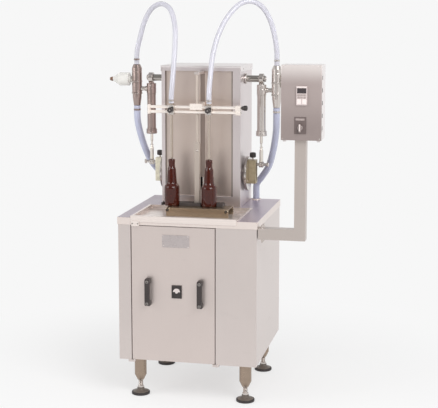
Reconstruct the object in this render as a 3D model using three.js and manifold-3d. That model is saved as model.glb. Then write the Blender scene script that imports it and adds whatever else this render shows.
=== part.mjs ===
// A two-head piston filling machine for liquids, on a floor cabinet.
// Two measuring cylinders hang on a fixed shaft, one on each side of an upright housing, and a
// crankshaft through the housing pulls and pushes their pistons. Check valves beside the
// cylinders draw the product in through the lower hoses and send it over the arched hoses to
// two nozzles on a bar, which a lift lowers into the bottles.
//
// Millimetres, +Z up, -Y is the front where the operator stands, +X is the operator's right.
// The origin is under the middle of the whole machine, on the floor.

import * as THREE from 'three';
import { mergeVertices } from 'three/addons/utils/BufferGeometryUtils.js';
import Module from 'manifold-3d';

const wasm = await Module();
wasm.setup();

// Shared clearances and counts
const seat = 0.3;
const running = 0.4;
const overrun = 5;
const weldDistance = 0.0001;
const fineSides = 28;
const roundSides = 16;
const smallSides = 12;
const hexSides = 6;

// Sheet metal
const sheet = 3;

// Cabinet and table
const tableWidth = 650;
const tableDepth = 640;
const tableHeight = 865;
const lipHeight = 34;
const bodyBottom = 197;
const spigotBore = 14;

// Front panel, which lifts off, and the pocket that it stands in
const panelLeft = -259;
const panelRight = 130;
const panelThickness = 18;
const panelGap = 4;
const panelTopGap = 6;
const panelFootGap = 2;
const jambWidth = 20;
const ledgeWidth = 30;
const ledgeHeight = 10;
const ledgeReach = 3;

// Handles of the front panel
const handleX = [-178, 66];
const handleWidth = 24;
const handleLength = 126;
const handleFoot = 20;
const handleStandoff = 37;
const handleGrip = 14;
const handleDrop = 340;

// Latch in the middle of the front panel
const latchX = -46.5;
const latchDrop = 336;
const latchPlateWidth = 47;
const latchPlateHeight = 60;
const latchPlateThickness = 5;
const latchPocketWidth = 37;
const latchPocketHeight = 50;
const latchPocketDepth = 3;
const latchHubRadius = 7;
const latchPaddleRadius = 16;
const latchPaddleThickness = 4;
const latchCamReach = 34;
const latchCamWidth = 9;
const latchCamThickness = 4;
const latchCamGap = 1.5;
const latchKeeperInset = 12;
const latchKeeperWidth = 20;

// Bare plate on the front panel
const labelX = -50.5;
const labelDrop = 103;
const labelWidth = 126;
const labelTall = 57;
const labelThickness = 1.6;

// Legs and levelling feet
const legInset = 73;
const legFrontY = 110;
const legRearInset = 55;
const legRadius = 28;
const legBottom = 96;
const legNoseRadius = 15;
const legNoseHeight = 28;
const legBoreTop = 170;
const frameBar = 30;
const frameHeight = 30;
const padRadius = 43;
const padHeight = 22;
const padEdge = 5;
const padBossRadius = 17;
const padBossHeight = 9;
const spindleRadius = 11;
const spindleTop = 150;

// Drip tray let into the table
const trayLeft = -261;
const trayRight = 231;
const trayFront = 10;
const trayBackGap = 6;
const trayDepth = 15;
const trayFlange = 8;
const trayFlangeThickness = 2.5;
const trayRimHeight = 9;
const trayApron = 28;
const trayTabWidth = 36;
const trayTabHeight = 25;
const trayTabInset = 4;
const drainX = -180;
const drainY = 60;
const drainRadius = 12;
const drainLength = 30;

// Bottle stand, locator and bottles
const headX = -14;
const standLeft = -120;
const standRight = 176;
const standAhead = 69;
const standDepth = 112;
const standHeight = 40;
const standWall = 4;
const standKnobRadius = 9;
const standKnobLength = 14;
const standKnobInset = 9;
const nozzleX = [-109.5, 69.5];
const bottleRadius = 36;
const bottleHeight = 218;
const bottleWall = 3.5;
const bottleMouthRadius = 11.5;
const locatorLeft = -158;
const locatorRight = 137;
const locatorAhead = 12;
const locatorDepth = 58;
const locatorThickness = 13;
const locatorClearance = 2;
const locatorPostReach = 20;

// Upright housing
const housingHalf = 192;
const housingDepth = 290;
const housingHeight = 674;
const recessLeft = -175;
const recessRight = 155;
const recessRise = 52;
const recessTopGap = 22;
const recessDepth = 12;
const slotHalf = 11;
const slotClearance = 2;
const slotRise = 80;
const slotTopGap = 16;
const lidSkirt = 28;
const lidFrontSkirt = 9;
const coverInset = 3;
const ventCount = 6;
const ventWidth = 90;
const ventTall = 6;
const ventPitch = 18;
const ventDrop = 79;

// Post and rod that guide the nozzle carriage
const guideX = 7;
const guideReach = 100;
const postHalf = 13;
const postDepth = 22;
const postRise = 319;
const guideRadius = 7;
const bracketHalf = 12;
const bracketThickness = 12;
const bracketTopGap = 24;

// Nozzle carriage and its two rails
const railAhead = 14;
const railRise = 487;
const railPitch = 23;
const railRadius = 7;
const railLeft = -226;
const railRight = 216;
const railPlateThickness = 10;
const railBlockWidth = 24;
const railEndMargin = 4;
const armHalf = 13;
const padHalf = 30;
const armBelow = 12;
const armAbove = 17;
const armFrontMargin = 12;
const clampHalf = 14;
const clampMargin = 4;
const clampWall = 4;
const knobRadius = 13;
const knobLength = 16;
const knobNeckRadius = 5;
const knobNeckLength = 8;
const knobBoltRadius = 3;
const railKnobNeck = 14;
const railKnobLength = 18;
const railKnobRadius = 12;
const railKnobTipRadius = 5;
const railKnobFlareShare = 0.75;

// Nozzles
const nozzleAhead = 17;
const nozzleRadius = 7;
const nozzleBore = 4.5;
const nozzleTipGap = 3.5;
const nozzleTipTaper = 6;
const nozzleCollarRadius = 12.5;
const nozzleCollarHeight = 7;
const nozzleBarbLength = 30;

// Lift inside the housing
const liftInset = 45;
const liftRadius = 22;
const liftHeight = 322;
const liftRodRadius = 6;
const liftRodLength = 310;
const liftFloorThickness = 12;
const liftPortRadius = 4;

// Shaft that the cylinders hang on, and the crank below it
const pivotInset = 112;
const shaftDrop = 64.5;
const shaftRadius = 16;
const shaftShoulder = 261;
const shaftEnd = 296;
const shaftPinRadius = 8;
const shaftNutRadius = 14;
const shaftNutThickness = 10;
const crankRise = 152;
const crankRadius = 15;
const crankThrow = 45;
const bearingRadius = 45;
const bearingFlange = 8;
const bearingHubRadius = 24;
const bearingHubLength = 30;
const discRadius = 83;
const discThickness = 12;
const discGap = 0.7;
const strokeBlockHalf = 22.5;
const strokeBlockOut = 250;
const strokeBlockBelow = 47;
const strokeBlockAbove = 67;
const strokeSlotHalf = 8;
const strokeSlotDepth = 11;
const strokeSlotEnd = 14;
const strokeScrewRadius = 5;
const strokeScrewDepth = 12;
const strokeKnobRadius = 15;
const strokeKnobNeck = 10;
const strokeKnobHeight = 26;

// Chain drive in the cabinet
const chainX = 65;
const chainHalf = 4;
const chainThickness = 8;
const chainGap = 0.6;
const sprocketRadius = 62;
const sprocketTeeth = 20;
const toothDepth = 6;
const sprocketHalf = 4;
const driveRadius = 31;
const driveTeeth = 10;
const driveDrop = 240;
const driveShaftRadius = 10;
const driveShaftInner = 50;
const driveShaftDepth = 25;
const chainHoleMargin = 12;
const gearboxX = 84;
const gearboxWidth = 100;
const gearboxHalf = 57;
const gearboxTall = 65;
const motorRadius = 68;
const motorLength = 210;
const motorFins = 2;
const motorFinHeight = 5;
const motorFinHalf = 2;
const motorBoxHalf = 30;
const motorBoxTall = 34;
const standPlate = 8;
const standFlange = 40;

// Measuring cylinders
const unitX = 273;
const eyeRadius = 25;
const eyeHalf = 11;
const neckHalfWidth = 9;
const neckHalfDepth = 11;
const headRadius = 23;
const headTopDrop = 27.5;
const headBottomDrop = 76.5;
const barrelRadius = 21;
const barrelBore = 16;
const barrelAbovePin = 162;
const capRadius = 26;
const capHeight = 23.5;
const capFloor = 12;
const boreTopDrop = 82;
const portDrop = 54.5;
const portRadius = 6;
const portBossRadius = 13;
const portBossOut = 27;

// Piston rods with their eyes and crank pins
const pistonTopDrop = 92;
const pistonHeight = 20;
const pistonGroove = 1.5;
const pistonGrooveHeight = 4;
const rodRadius = 7;
const rodStepAbovePin = 102.5;
const rodThinRadius = 4.5;
const rodForkAbovePin = 70.5;
const rodForkRadius = 9;
const rodForkEndAbovePin = 16.5;
const rodEyeRadius = 15;
const rodEyeHalf = 10;
const crankPinRadius = 7;
const crankPinEnd = 309;
const pinKnobRadius = 11;
const pinKnobLength = 9;

// Check valves beside the cylinders
const valveX = 346;
const valveRadius = 24.5;
const valveBodyRise = 39.5;
const valveBodyDrop = 75.5;
const valveCapRise = 63.5;
const valveCapRadius = 17;
const valveCapStep = 8;
const valveLowerRadius = 22;
const valveLowerDrop = 97.5;
const valveConeDrop = 137.5;
const valveConeRadius = 17;
const valveGroove = 1.5;
const valveGrooveWidth = 3;
const valveBore = 6;
const valveChamberRadius = 15;
const valveChamberMargin = 12;
const upperBarbLength = 32;
const lowerBarbLength = 36;
const productTubeRadius = 10.5;
const chamberBossRadius = 15;
const chamberBossLength = 5;

// Clear surge chambers outboard of the valves
const surgeDrop = 9;
const surgeRadius = 32.5;
const surgeNeckRadius = 17;
const surgeNeckLength = 7;
const surgeBodyLength = 54;
const surgeConeLength = 24;
const surgeTipRadius = 8;
const surgeTipLength = 22;
const surgeWall = 3;

// Hoses
const hoseOuter = 12.5;
const hoseInner = 9.5;
const supplyOuter = 16.5;
const supplyInner = 12.5;
const hoseOuterSides = 10;
const hoseInnerSides = 6;
const hoseBarbGap = 1.9;
const dischargeSteps = 21;
const supplySteps = 12;
const spigotX = 222;
const spigotInset = 28;
const spigotFlangeRadius = 23;
const spigotFlangeHeight = 6;
const spigotHeight = 40;
const spigotTail = 40;

// Control box on its arm
const armTube = 50;
const armTubeWall = 3;
const armY = 5;
const armDrop = 53;
const armFlangeThickness = 8;
const armFlangeMargin = 14;
const armPadThickness = 15;
const uprightX = 513;
const boxX = 518.5;
const boxWidth = 177;
const boxRise = 373;
const boxTall = 327;
const boxFront = -20;
const boxDepth = 125;
const boxDoorThickness = 12;
const boxWall = 3;
const boxLip = 10;
const boxLugWidth = 14;
const boxLugDrop = 8;
const boxLugThickness = 12;
const displayX = 521;
const displayWidth = 48;
const displayRise = 153;
const displayTall = 89;
const displayThickness = 6;
const displayWindowMargin = 5;
const displayWindowHeight = 24;
const displayWindowDepth = 2;
const keyGap = 4;
const keyRows = 3;
const keyColumns = 2;
const keyRise = 1;
const switchX = 515;
const switchPlateWidth = 52;
const switchPlateRise = 28;
const switchPlateTall = 74;
const switchPlateThickness = 2;
const switchRise = 55;
const switchRadius = 12;
const switchLength = 10;
const switchGripHalf = 4;
const switchGripReach = 18;
const switchGripLength = 10;

// Places worked out from the sizes above
const bodyHalf = tableWidth / 2 - sheet - seat;
const bodyFront = sheet + seat;
const bodyBack = tableDepth - sheet - seat;
const underTable = tableHeight - sheet - seat;
const onTable = tableHeight + seat;
const lipBottom = tableHeight - lipHeight;
const handleCentreHeight = tableHeight - handleDrop;
const latchHeight = tableHeight - latchDrop;
const labelHeight = tableHeight - labelDrop;
const legX = tableWidth / 2 - legInset;
const legRearY = tableDepth - legRearInset;
const spigotY = tableDepth - spigotInset;
const armCentreHeight = tableHeight - armDrop;
const panelBottom = bodyBottom + panelFootGap;
const panelTop = lipBottom - panelTopGap / 2;
const pocketLeft = panelLeft - panelGap;
const pocketRight = panelRight + panelGap;
const pocketTop = lipBottom;
const pocketBack = bodyFront + panelThickness + seat;
const jambBack = pocketBack + sheet;
const housingFront = tableDepth - housingDepth;
const housingBack = tableDepth - coverInset;
const housingTop = tableHeight + housingHeight;
const guideY = housingFront - guideReach;
const railY = guideY - railAhead;
const nozzleY = railY - nozzleAhead;
const liftY = housingFront + liftInset;
const pivotY = housingFront + pivotInset;
const trayFloor = tableHeight - trayDepth;
const trayBack = housingFront - trayBackGap;
const standFront = nozzleY - standAhead;
const standBottom = trayFloor + seat;
const standTop = standBottom + standHeight;
const locatorFront = nozzleY - locatorAhead;
const bottleBase = standTop + seat;
const bottleTop = bottleBase + bottleHeight;
const nozzleTip = bottleTop + nozzleTipGap;
const shellTop = housingTop - sheet - seat;
const recessBottom = tableHeight + recessRise;
const recessTop = housingTop - recessTopGap;
const recessBack = housingFront + recessDepth;
const slotBottom = tableHeight + slotRise;
const ventTop = housingTop - ventDrop;
const postTop = tableHeight + postRise;
const railUpper = tableHeight + railRise;
const railLower = railUpper - railPitch;
const armBottom = railUpper - armBelow;
const armTop = railUpper + armAbove;
const liftTop = onTable + liftHeight;
const clampBottom = railLower - railRadius - clampMargin;
const clampTop = railUpper + railRadius + clampMargin;
const shaftHeight = housingTop - shaftDrop;
const crankHeight = tableHeight + crankRise;
const pinDrop = shaftHeight - crankHeight - crankThrow;
const barrelBottomDrop = pinDrop - barrelAbovePin;
const capBottomDrop = barrelBottomDrop + capHeight;
const rodStepDrop = pinDrop - rodStepAbovePin;
const rodForkDrop = pinDrop - rodForkAbovePin;
const rodForkEndDrop = pinDrop - rodForkEndAbovePin;
const valveOut = valveX - unitX;
const driveHeight = tableHeight - driveDrop;
const driveTop = driveHeight + gearboxTall;
const boxBottom = tableHeight + boxRise;
const boxTop = boxBottom + boxTall;
const displayBottom = boxBottom + displayRise;
const displayTop = displayBottom + displayTall;
const switchPlateBottom = boxBottom + switchPlateRise;
const switchPlateTop = switchPlateBottom + switchPlateTall;
const switchHeight = boxBottom + switchRise;

// Finishes
const steel = { color: 0xcfc9c5, roughness: 0.35, metalness: 0.85 };
const polished = { color: 0xd8d4d0, roughness: 0.18, metalness: 1 };
const brass = { color: 0xb7a67e, roughness: 0.4, metalness: 0.8 };
const black = { color: 0x1c1a1a, roughness: 0.5, metalness: 0 };
const amber = { color: 0x5a1f0c, roughness: 0.08, metalness: 0 };
const clear = { color: 0xf1ebe2, roughness: 0.2, metalness: 0, transparent: true, opacity: 0.5 };
const milky = { color: 0xe6e4ee, roughness: 0.3, metalness: 0, transparent: true, opacity: 0.7 };
const bluish = { color: 0xbfc3e4, roughness: 0.3, metalness: 0, transparent: true, opacity: 0.7 };
const painted = { color: 0x56616b, roughness: 0.55, metalness: 0.2 };

// Solids

// A closed solid from a geometry whose shared corners are merged.
function solid(geometry) {
  const bare = new THREE.BufferGeometry();
  bare.setAttribute('position', geometry.getAttribute('position'));
  bare.setIndex(geometry.getIndex());
  const merged = mergeVertices(bare, weldDistance);
  const corners = merged.getIndex().array;
  const triangles = [];
  for (let i = 0; i < corners.length; i += 3) {
    const [a, b, c] = [corners[i], corners[i + 1], corners[i + 2]];
    if (a !== b && b !== c && c !== a) triangles.push(a, b, c);
  }
  return new wasm.Manifold(new wasm.Mesh({
    numProp: 3,
    vertProperties: Float32Array.from(merged.getAttribute('position').array),
    triVerts: Uint32Array.from(triangles),
  }));
}

function join(first, ...others) {
  return others.reduce((whole, other) => whole.add(other), first);
}

function cut(first, ...tools) {
  return tools.reduce((rest, tool) => rest.subtract(tool), first);
}

// A box between its lowest and its highest corner, given in either order.
function block(one, other) {
  const low = one.map((value, i) => Math.min(value, other[i]));
  const size = one.map((value, i) => Math.abs(other[i] - value));
  const geometry = new THREE.BoxGeometry(...size);
  geometry.translate(...low.map((value, i) => value + size[i] / 2));
  return solid(geometry);
}

// Turns a geometry that runs along +Y so that it runs along the named axis from a base point.
function stand(geometry, axis, base) {
  if (axis === 'x') geometry.rotateZ(-Math.PI / 2);
  if (axis === 'z') geometry.rotateX(Math.PI / 2);
  geometry.translate(...base);
  return geometry;
}

// A round bar between two heights along an axis through a point.
function bar(axis, radius, centre, from, to, sides = roundSides) {
  const length = Math.abs(to - from);
  const geometry = new THREE.CylinderGeometry(radius, radius, length, sides);
  geometry.translate(0, length / 2, 0);
  const base = [...centre];
  base['xyz'.indexOf(axis)] = Math.min(from, to);
  return solid(stand(geometry, axis, base));
}

// A turned solid: a closed outline of [radius, place along the axis] pairs about an axis.
function turned(axis, outline, centre, sides = roundSides) {
  const points = outline.map(([radius, along]) => new THREE.Vector2(radius, along));
  if (THREE.ShapeUtils.area(points) > 0) points.reverse();
  points.push(points[0].clone());
  points.reverse();
  return solid(stand(new THREE.LatheGeometry(points, sides), axis, centre));
}

// A plate with a flat outline of [across, up] points, standing upright from y to y + depth.
function uprightPlate(points, y, depth) {
  const outline = new THREE.Shape(points.map(([across, up]) => new THREE.Vector2(across, up)));
  const geometry = new THREE.ExtrudeGeometry(outline, { depth, bevelEnabled: false });
  geometry.rotateX(Math.PI / 2);
  geometry.translate(0, y + depth, 0);
  return solid(geometry);
}

// A slab with an outline seen from the side, [y, z] points, between two places along X.
function sidePlate(points, from, to) {
  const outline = new THREE.Shape(points.map(([y, z]) => new THREE.Vector2(y, z)));
  const depth = to - from;
  const geometry = new THREE.ExtrudeGeometry(outline, { depth, bevelEnabled: false });
  geometry.rotateZ(Math.PI / 2);
  geometry.rotateY(Math.PI / 2);
  geometry.translate(from, 0, 0);
  return solid(geometry);
}

function circlePoints(radius, sides, centre = [0, 0], from = 0, turn = 2 * Math.PI) {
  const count = turn < 2 * Math.PI ? sides + 1 : sides;
  return Array.from({ length: count }, (_, i) => {
    const angle = from + turn * i / sides;
    return [centre[0] + radius * Math.cos(angle), centre[1] + radius * Math.sin(angle)];
  });
}

// Points of a toothed wheel with flat-topped teeth.
function toothedOutline(radius, teeth, centre) {
  const toothShares = [0, 0.3, 0.5, 0.8];
  const points = [];
  for (let tooth = 0; tooth < teeth; tooth += 1) {
    toothShares.forEach((share, i) => {
      const reach = i < 2 ? radius : radius - toothDepth;
      const angle = 2 * Math.PI * (tooth + share) / teeth;
      points.push([centre[0] + reach * Math.cos(angle), centre[1] + reach * Math.sin(angle)]);
    });
  }
  return points;
}

// A hose with its bore, along a smooth route through hand-chosen points.
function hose(route, outer, inner, steps) {
  const ring = (radius, sides) => circlePoints(radius, sides).map(([x, y]) => new THREE.Vector2(x, y));
  const section = new THREE.Shape(ring(outer, hoseOuterSides));
  section.holes.push(new THREE.Path(ring(inner, hoseInnerSides).reverse()));
  const path = new THREE.CatmullRomCurve3(route.map((point) => new THREE.Vector3(...point)));
  return solid(new THREE.ExtrudeGeometry(section, { steps, extrudePath: path, bevelEnabled: false }));
}

// Adds a named piece to a group.
function piece(group, name, body, finish) {
  const mesh = body.getMesh();
  const geometry = new THREE.BufferGeometry();
  geometry.setAttribute('position', new THREE.BufferAttribute(mesh.vertProperties, 3));
  geometry.setIndex(new THREE.BufferAttribute(mesh.triVerts, 1));
  geometry.computeVertexNormals();
  const added = new THREE.Mesh(geometry, new THREE.MeshStandardMaterial(finish));
  added.name = name;
  group.add(added);
  return added;
}

const sideNames = [['left', -1], ['right', 1]];

// Cabinet, with the pocket that the front panel stands in and the latch's keeper bar behind it

function buildCabinet(group) {
  const outer = block([-bodyHalf, bodyFront, bodyBottom], [bodyHalf, bodyBack, underTable]);
  const hollow = block(
    [-bodyHalf + sheet, bodyFront + sheet, bodyBottom + sheet],
    [bodyHalf - sheet, bodyBack - sheet, underTable + overrun],
  );
  const pocket = block(
    [pocketLeft - sheet, bodyFront, bodyBottom],
    [pocketRight + sheet, jambBack, pocketTop + sheet],
  );
  const pocketSpace = block(
    [pocketLeft, bodyFront - overrun, bodyBottom - overrun],
    [pocketRight, pocketBack, pocketTop],
  );
  const doorway = block(
    [pocketLeft + jambWidth, bodyFront, bodyBottom + jambWidth + sheet],
    [pocketRight - jambWidth, jambBack + overrun, pocketTop - jambWidth],
  );
  const keeperLeft = latchX + latchKeeperInset;
  const keeper = block(
    [keeperLeft, pocketBack, bodyBottom + sheet],
    [keeperLeft + latchKeeperWidth, jambBack, pocketTop],
  );
  const ledges = [pocketLeft, pocketRight].map((edge) => block(
    [edge - ledgeWidth / 2, bodyFront - ledgeReach, bodyBottom - ledgeHeight],
    [edge + ledgeWidth / 2, jambBack, bodyBottom + panelFootGap / 2],
  ));
  const legHoles = legPlaces().map(([x, y]) => bar(
    'z', legRadius + running, [x, y, 0], bodyBottom - overrun, bodyBottom + sheet + overrun,
  ));
  const shell = join(cut(outer, hollow), pocket);
  const opened = join(cut(shell, pocketSpace, doorway), keeper, ...ledges);
  piece(group, 'cabinet_shell', cut(opened, ...legHoles), steel);
}

function legPlaces() {
  return [legFrontY, legRearY].flatMap((y) => [[-legX, y], [legX, y]]);
}

// A ring of square bar on the cabinet floor, with a leg at each corner.
function buildBaseFrame(group) {
  const bottom = bodyBottom + sheet + seat;
  const top = bottom + frameHeight;
  const reach = frameBar / 2;
  const ring = cut(
    block([-legX - reach, legFrontY - reach, bottom], [legX + reach, legRearY + reach, top]),
    block(
      [-legX + reach, legFrontY + reach, bottom - overrun],
      [legX - reach, legRearY - reach, top + overrun],
    ),
  );
  const noseBottom = legBottom - legNoseHeight;
  const outline = [
    [0, noseBottom], [legNoseRadius, noseBottom], [legRadius, legBottom], [legRadius, top],
    [0, top],
  ];
  const legs = legPlaces().map(([x, y]) => turned('z', outline, [x, y, 0]));
  const bores = legPlaces().map(([x, y]) => bar(
    'z', spindleRadius + running, [x, y, 0], noseBottom - overrun, legBoreTop,
  ));
  piece(group, 'base_frame', cut(join(ring, ...legs), ...bores), steel);
}

function buildFeet(group) {
  const names = ['front_left', 'front_right', 'rear_left', 'rear_right'];
  const bossTop = padHeight + padBossHeight;
  const outline = [
    [0, 0], [padRadius - padEdge, 0], [padRadius, padEdge], [padRadius, padHeight - padEdge],
    [padRadius - padEdge, padHeight], [padBossRadius, padHeight], [spindleRadius, bossTop],
    [spindleRadius, spindleTop], [0, spindleTop],
  ];
  legPlaces().forEach(([x, y], i) => {
    const foot = piece(group, `levelling_foot_${names[i]}`, turned('z', outline, [0, 0, 0]), black);
    foot.position.set(x, y, 0);
  });
}

// Front panel: a shallow tray with its handles, bare plate and latch

function buildFrontPanel(group) {
  const back = bodyFront + panelThickness;
  const shell = cut(
    block([panelLeft, bodyFront, panelBottom], [panelRight, back, panelTop]),
    block(
      [panelLeft + sheet, bodyFront + sheet, panelBottom + sheet],
      [panelRight - sheet, back + overrun, panelTop - sheet],
    ),
    bar('y', latchHubRadius + running, [latchX, 0, latchHeight], bodyFront - overrun, back + overrun),
  );
  piece(group, 'front_panel', shell, steel);
  sideNames.forEach(([side], i) => {
    piece(group, `panel_handle_${side}`, panelHandle(handleX[i]), black);
  });
  const plateBack = bodyFront - seat;
  const label = block(
    [labelX - labelWidth / 2, plateBack - labelThickness, labelHeight - labelTall / 2],
    [labelX + labelWidth / 2, plateBack, labelHeight + labelTall / 2],
  );
  piece(group, 'label_plate', label, polished);
  buildLatch(group, plateBack);
}

// A bridge handle: two feet and a grip that bows towards the operator.
function panelHandle(x) {
  const face = bodyFront - seat;
  const half = handleLength / 2;
  const bow = face - handleStandoff;
  const inner = bow + handleGrip;
  const shoulder = half - handleFoot / 2;
  const gripHalf = half - handleFoot;
  const points = [
    [face, -half], [inner, -half], [bow, -shoulder], [bow, shoulder], [inner, half], [face, half],
    [face, gripHalf], [inner, gripHalf - handleFoot / 2], [inner, handleFoot / 2 - gripHalf],
    [face, -gripHalf],
  ];
  const placed = points.map(([y, z]) => [y, z + handleCentreHeight]);
  return sidePlate(placed, x - handleWidth / 2, x + handleWidth / 2);
}

// The latch: a bare plate, and a paddle whose cam points up when it is open
function buildLatch(group, plateBack) {
  const plateFront = plateBack - latchPlateThickness;
  const plate = cut(
    block(
      [latchX - latchPlateWidth / 2, plateFront, latchHeight - latchPlateHeight / 2],
      [latchX + latchPlateWidth / 2, plateBack, latchHeight + latchPlateHeight / 2],
    ),
    block(
      [latchX - latchPocketWidth / 2, plateFront - overrun, latchHeight - latchPocketHeight / 2],
      [
        latchX + latchPocketWidth / 2, plateFront + latchPocketDepth,
        latchHeight + latchPocketHeight / 2,
      ],
    ),
    bar(
      'y', latchHubRadius + running, [latchX, 0, latchHeight], plateFront - overrun,
      plateBack + overrun,
    ),
  );
  piece(group, 'latch_plate', plate, black);
  const paddleBack = plateFront + latchPocketDepth - running;
  const camFront = jambBack + latchCamGap;
  const half = circlePoints(latchPaddleRadius, smallSides, [latchX, latchHeight], 0, Math.PI);
  const paddle = uprightPlate(half, paddleBack - latchPaddleThickness, latchPaddleThickness);
  const hub = bar(
    'y', latchHubRadius, [latchX, 0, latchHeight], paddleBack - latchPaddleThickness, camFront,
  );
  const cam = block(
    [latchX - latchCamWidth / 2, camFront, latchHeight - latchCamWidth / 2],
    [latchX + latchCamWidth / 2, camFront + latchCamThickness, latchHeight + latchCamReach],
  );
  piece(group, 'latch_paddle', join(paddle, hub, cam), polished);
}

// Table top: a folded sheet with the tray and chain openings and two product spigots

function buildTable(group) {
  const half = tableWidth / 2;
  const trayHole = block(
    [trayLeft, trayFront, tableHeight - overrun],
    [trayRight, trayBack + seat, tableHeight + overrun],
  );
  const chainReach = sprocketRadius + chainThickness + chainHoleMargin;
  const chainHole = block(
    [headX + chainX - chainHoleMargin, pivotY - chainReach, tableHeight - overrun],
    [headX + chainX + chainHoleMargin, pivotY + chainReach, tableHeight + overrun],
  );
  const folded = cut(
    block([-half, 0, lipBottom], [half, tableDepth, tableHeight]),
    block(
      [sheet - half, sheet, lipBottom - overrun],
      [half - sheet, tableDepth - sheet, tableHeight - sheet],
    ),
    trayHole,
    chainHole,
  );
  const flangeTop = tableHeight + spigotFlangeHeight;
  const spigotRadius = supplyInner - hoseBarbGap;
  const outline = [
    [0, tableHeight - spigotTail], [spigotRadius, tableHeight - spigotTail],
    [spigotRadius, tableHeight - sheet / 2], [spigotFlangeRadius, tableHeight - sheet / 2],
    [spigotFlangeRadius, flangeTop], [spigotRadius, flangeTop],
    [spigotRadius, flangeTop + spigotHeight], [0, flangeTop + spigotHeight],
  ];
  const spigots = sideNames.map(([, side]) => turned(
    'z', outline, [headX + side * spigotX, spigotY, 0],
  ));
  const bores = sideNames.map(([, side]) => bar(
    'z', spigotBore / 2, [headX + side * spigotX, spigotY, 0],
    tableHeight - spigotTail - overrun, flangeTop + spigotHeight + overrun, smallSides,
  ));
  piece(group, 'table_top', cut(join(folded, ...spigots), ...bores), steel);
}

function buildDripTray(group) {
  const left = trayLeft + seat;
  const right = trayRight - seat;
  const front = trayFront + seat;
  const flangeBottom = onTable;
  const flangeTop = flangeBottom + trayFlangeThickness;
  const rimTop = tableHeight + trayRimHeight;
  const basin = cut(
    block([left, front, trayFloor - sheet], [right, trayBack, flangeTop]),
    block(
      [left + sheet, front + sheet, trayFloor],
      [right - sheet, trayBack - sheet, flangeTop + overrun],
    ),
  );
  const flange = cut(
    block([left - trayFlange, front, flangeBottom], [right + trayFlange, trayBack, flangeTop]),
    block(
      [left + sheet, front - overrun, flangeBottom - overrun],
      [right - sheet, trayBack - sheet, flangeTop + overrun],
    ),
  );
  const apronFront = -seat - sheet;
  const rim = block([left, apronFront, rimTop - sheet], [right, front + sheet, rimTop]);
  const rimBack = block([left, front, flangeBottom], [right, front + sheet, rimTop]);
  const apron = block([left, apronFront, rimTop - trayApron], [right, -seat, rimTop]);
  const tabTop = rimTop - trayApron + overrun;
  const tab = block(
    [left + trayTabInset, apronFront - sheet, tabTop - trayTabHeight],
    [left + trayTabInset + trayTabWidth, apronFront + sheet / 2, tabTop],
  );
  const drain = bar('z', drainRadius, [drainX, drainY, 0], trayFloor - sheet - drainLength, trayFloor);
  const drainBore = bar(
    'z', drainRadius - sheet, [drainX, drainY, 0], trayFloor - sheet - drainLength - overrun,
    trayFloor + overrun,
  );
  piece(
    group, 'drip_tray',
    cut(join(basin, flange, rim, rimBack, apron, tab, drain), drainBore),
    steel,
  );
}

// Bottle stand, locator and bottles, in the head's own frame

function buildBottleStand(group) {
  const back = standFront + standDepth;
  const channel = cut(
    block([standLeft, standFront, standBottom], [standRight, back, standTop]),
    block(
      [standLeft - overrun, standFront + standWall, standBottom - overrun],
      [standRight + overrun, back - standWall, standTop - standWall],
    ),
    block(
      [guideX - postHalf - running, guideY - postDepth / 2 - running, standBottom - overrun],
      [guideX + postHalf + running, back + overrun, standTop + overrun],
    ),
  );
  const knobHeight = standTop - standKnobInset;
  const knobs = [standLeft + standKnobInset, standRight - standKnobInset].map((x) => bar(
    'y', standKnobRadius, [x, 0, knobHeight], standFront - standKnobLength,
    standFront + standWall / 2, smallSides,
  ));
  piece(group, 'bottle_stand', join(channel, ...knobs), steel);
}

// A black plate with a bay for each bottle, and a notch that clears the guide post.
function buildLocator(group) {
  const bottom = standTop + seat;
  const bays = nozzleX.map((x) => join(
    bar(
      'z', bottleRadius + locatorClearance, [x, nozzleY, 0], bottom - overrun,
      bottom + locatorThickness + overrun,
    ),
    block(
      [x - bottleRadius - locatorClearance, locatorFront - overrun, bottom - overrun],
      [x + bottleRadius + locatorClearance, nozzleY, bottom + locatorThickness + overrun],
    ),
  ));
  const notch = block(
    [guideX - locatorPostReach, guideY - (postDepth + locatorPostReach) / 2, bottom - overrun],
    [
      guideX + locatorPostReach, locatorFront + locatorDepth + overrun,
      bottom + locatorThickness + overrun,
    ],
  );
  const plate = block(
    [locatorLeft, locatorFront, bottom],
    [locatorRight, locatorFront + locatorDepth, bottom + locatorThickness],
  );
  piece(group, 'bottle_locator', cut(plate, ...bays, notch), black);
}

// Outline of a bottle, as shares of its radius and height, and then the same wall inside.
function bottleOutline() {
  const outerShares = [
    [0.93, 0], [1, 0.02], [1, 0.4], [0.96, 0.45], [0.82, 0.495], [0.66, 0.55],
    [0.46, 0.82], [0.49, 0.84], [0.49, 0.87], [0.42, 0.88], [0.42, 1],
  ];
  const innerShares = [[1, 0.03], [1, 0.4], [0.82, 0.495], [0.66, 0.55]];
  const outer = outerShares.map(([across, up]) => [across * bottleRadius, up * bottleHeight]);
  const inner = innerShares.map(([across, up]) => [
    across * bottleRadius - bottleWall, up * bottleHeight,
  ]);
  const neckShare = 0.84;
  return [
    [0, 0], ...outer, [bottleMouthRadius, bottleHeight], [bottleMouthRadius, neckShare * bottleHeight],
    ...inner.reverse(), [0, inner[inner.length - 1][1]],
  ];
}

function buildBottles(group) {
  sideNames.forEach(([side], i) => {
    const bottle = piece(group, `bottle_${side}`, turned('z', bottleOutline(), [0, 0, 0]), amber);
    bottle.position.set(nozzleX[i], nozzleY, bottleBase);
  });
}

// Upright housing, its lid and its rear cover

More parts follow.
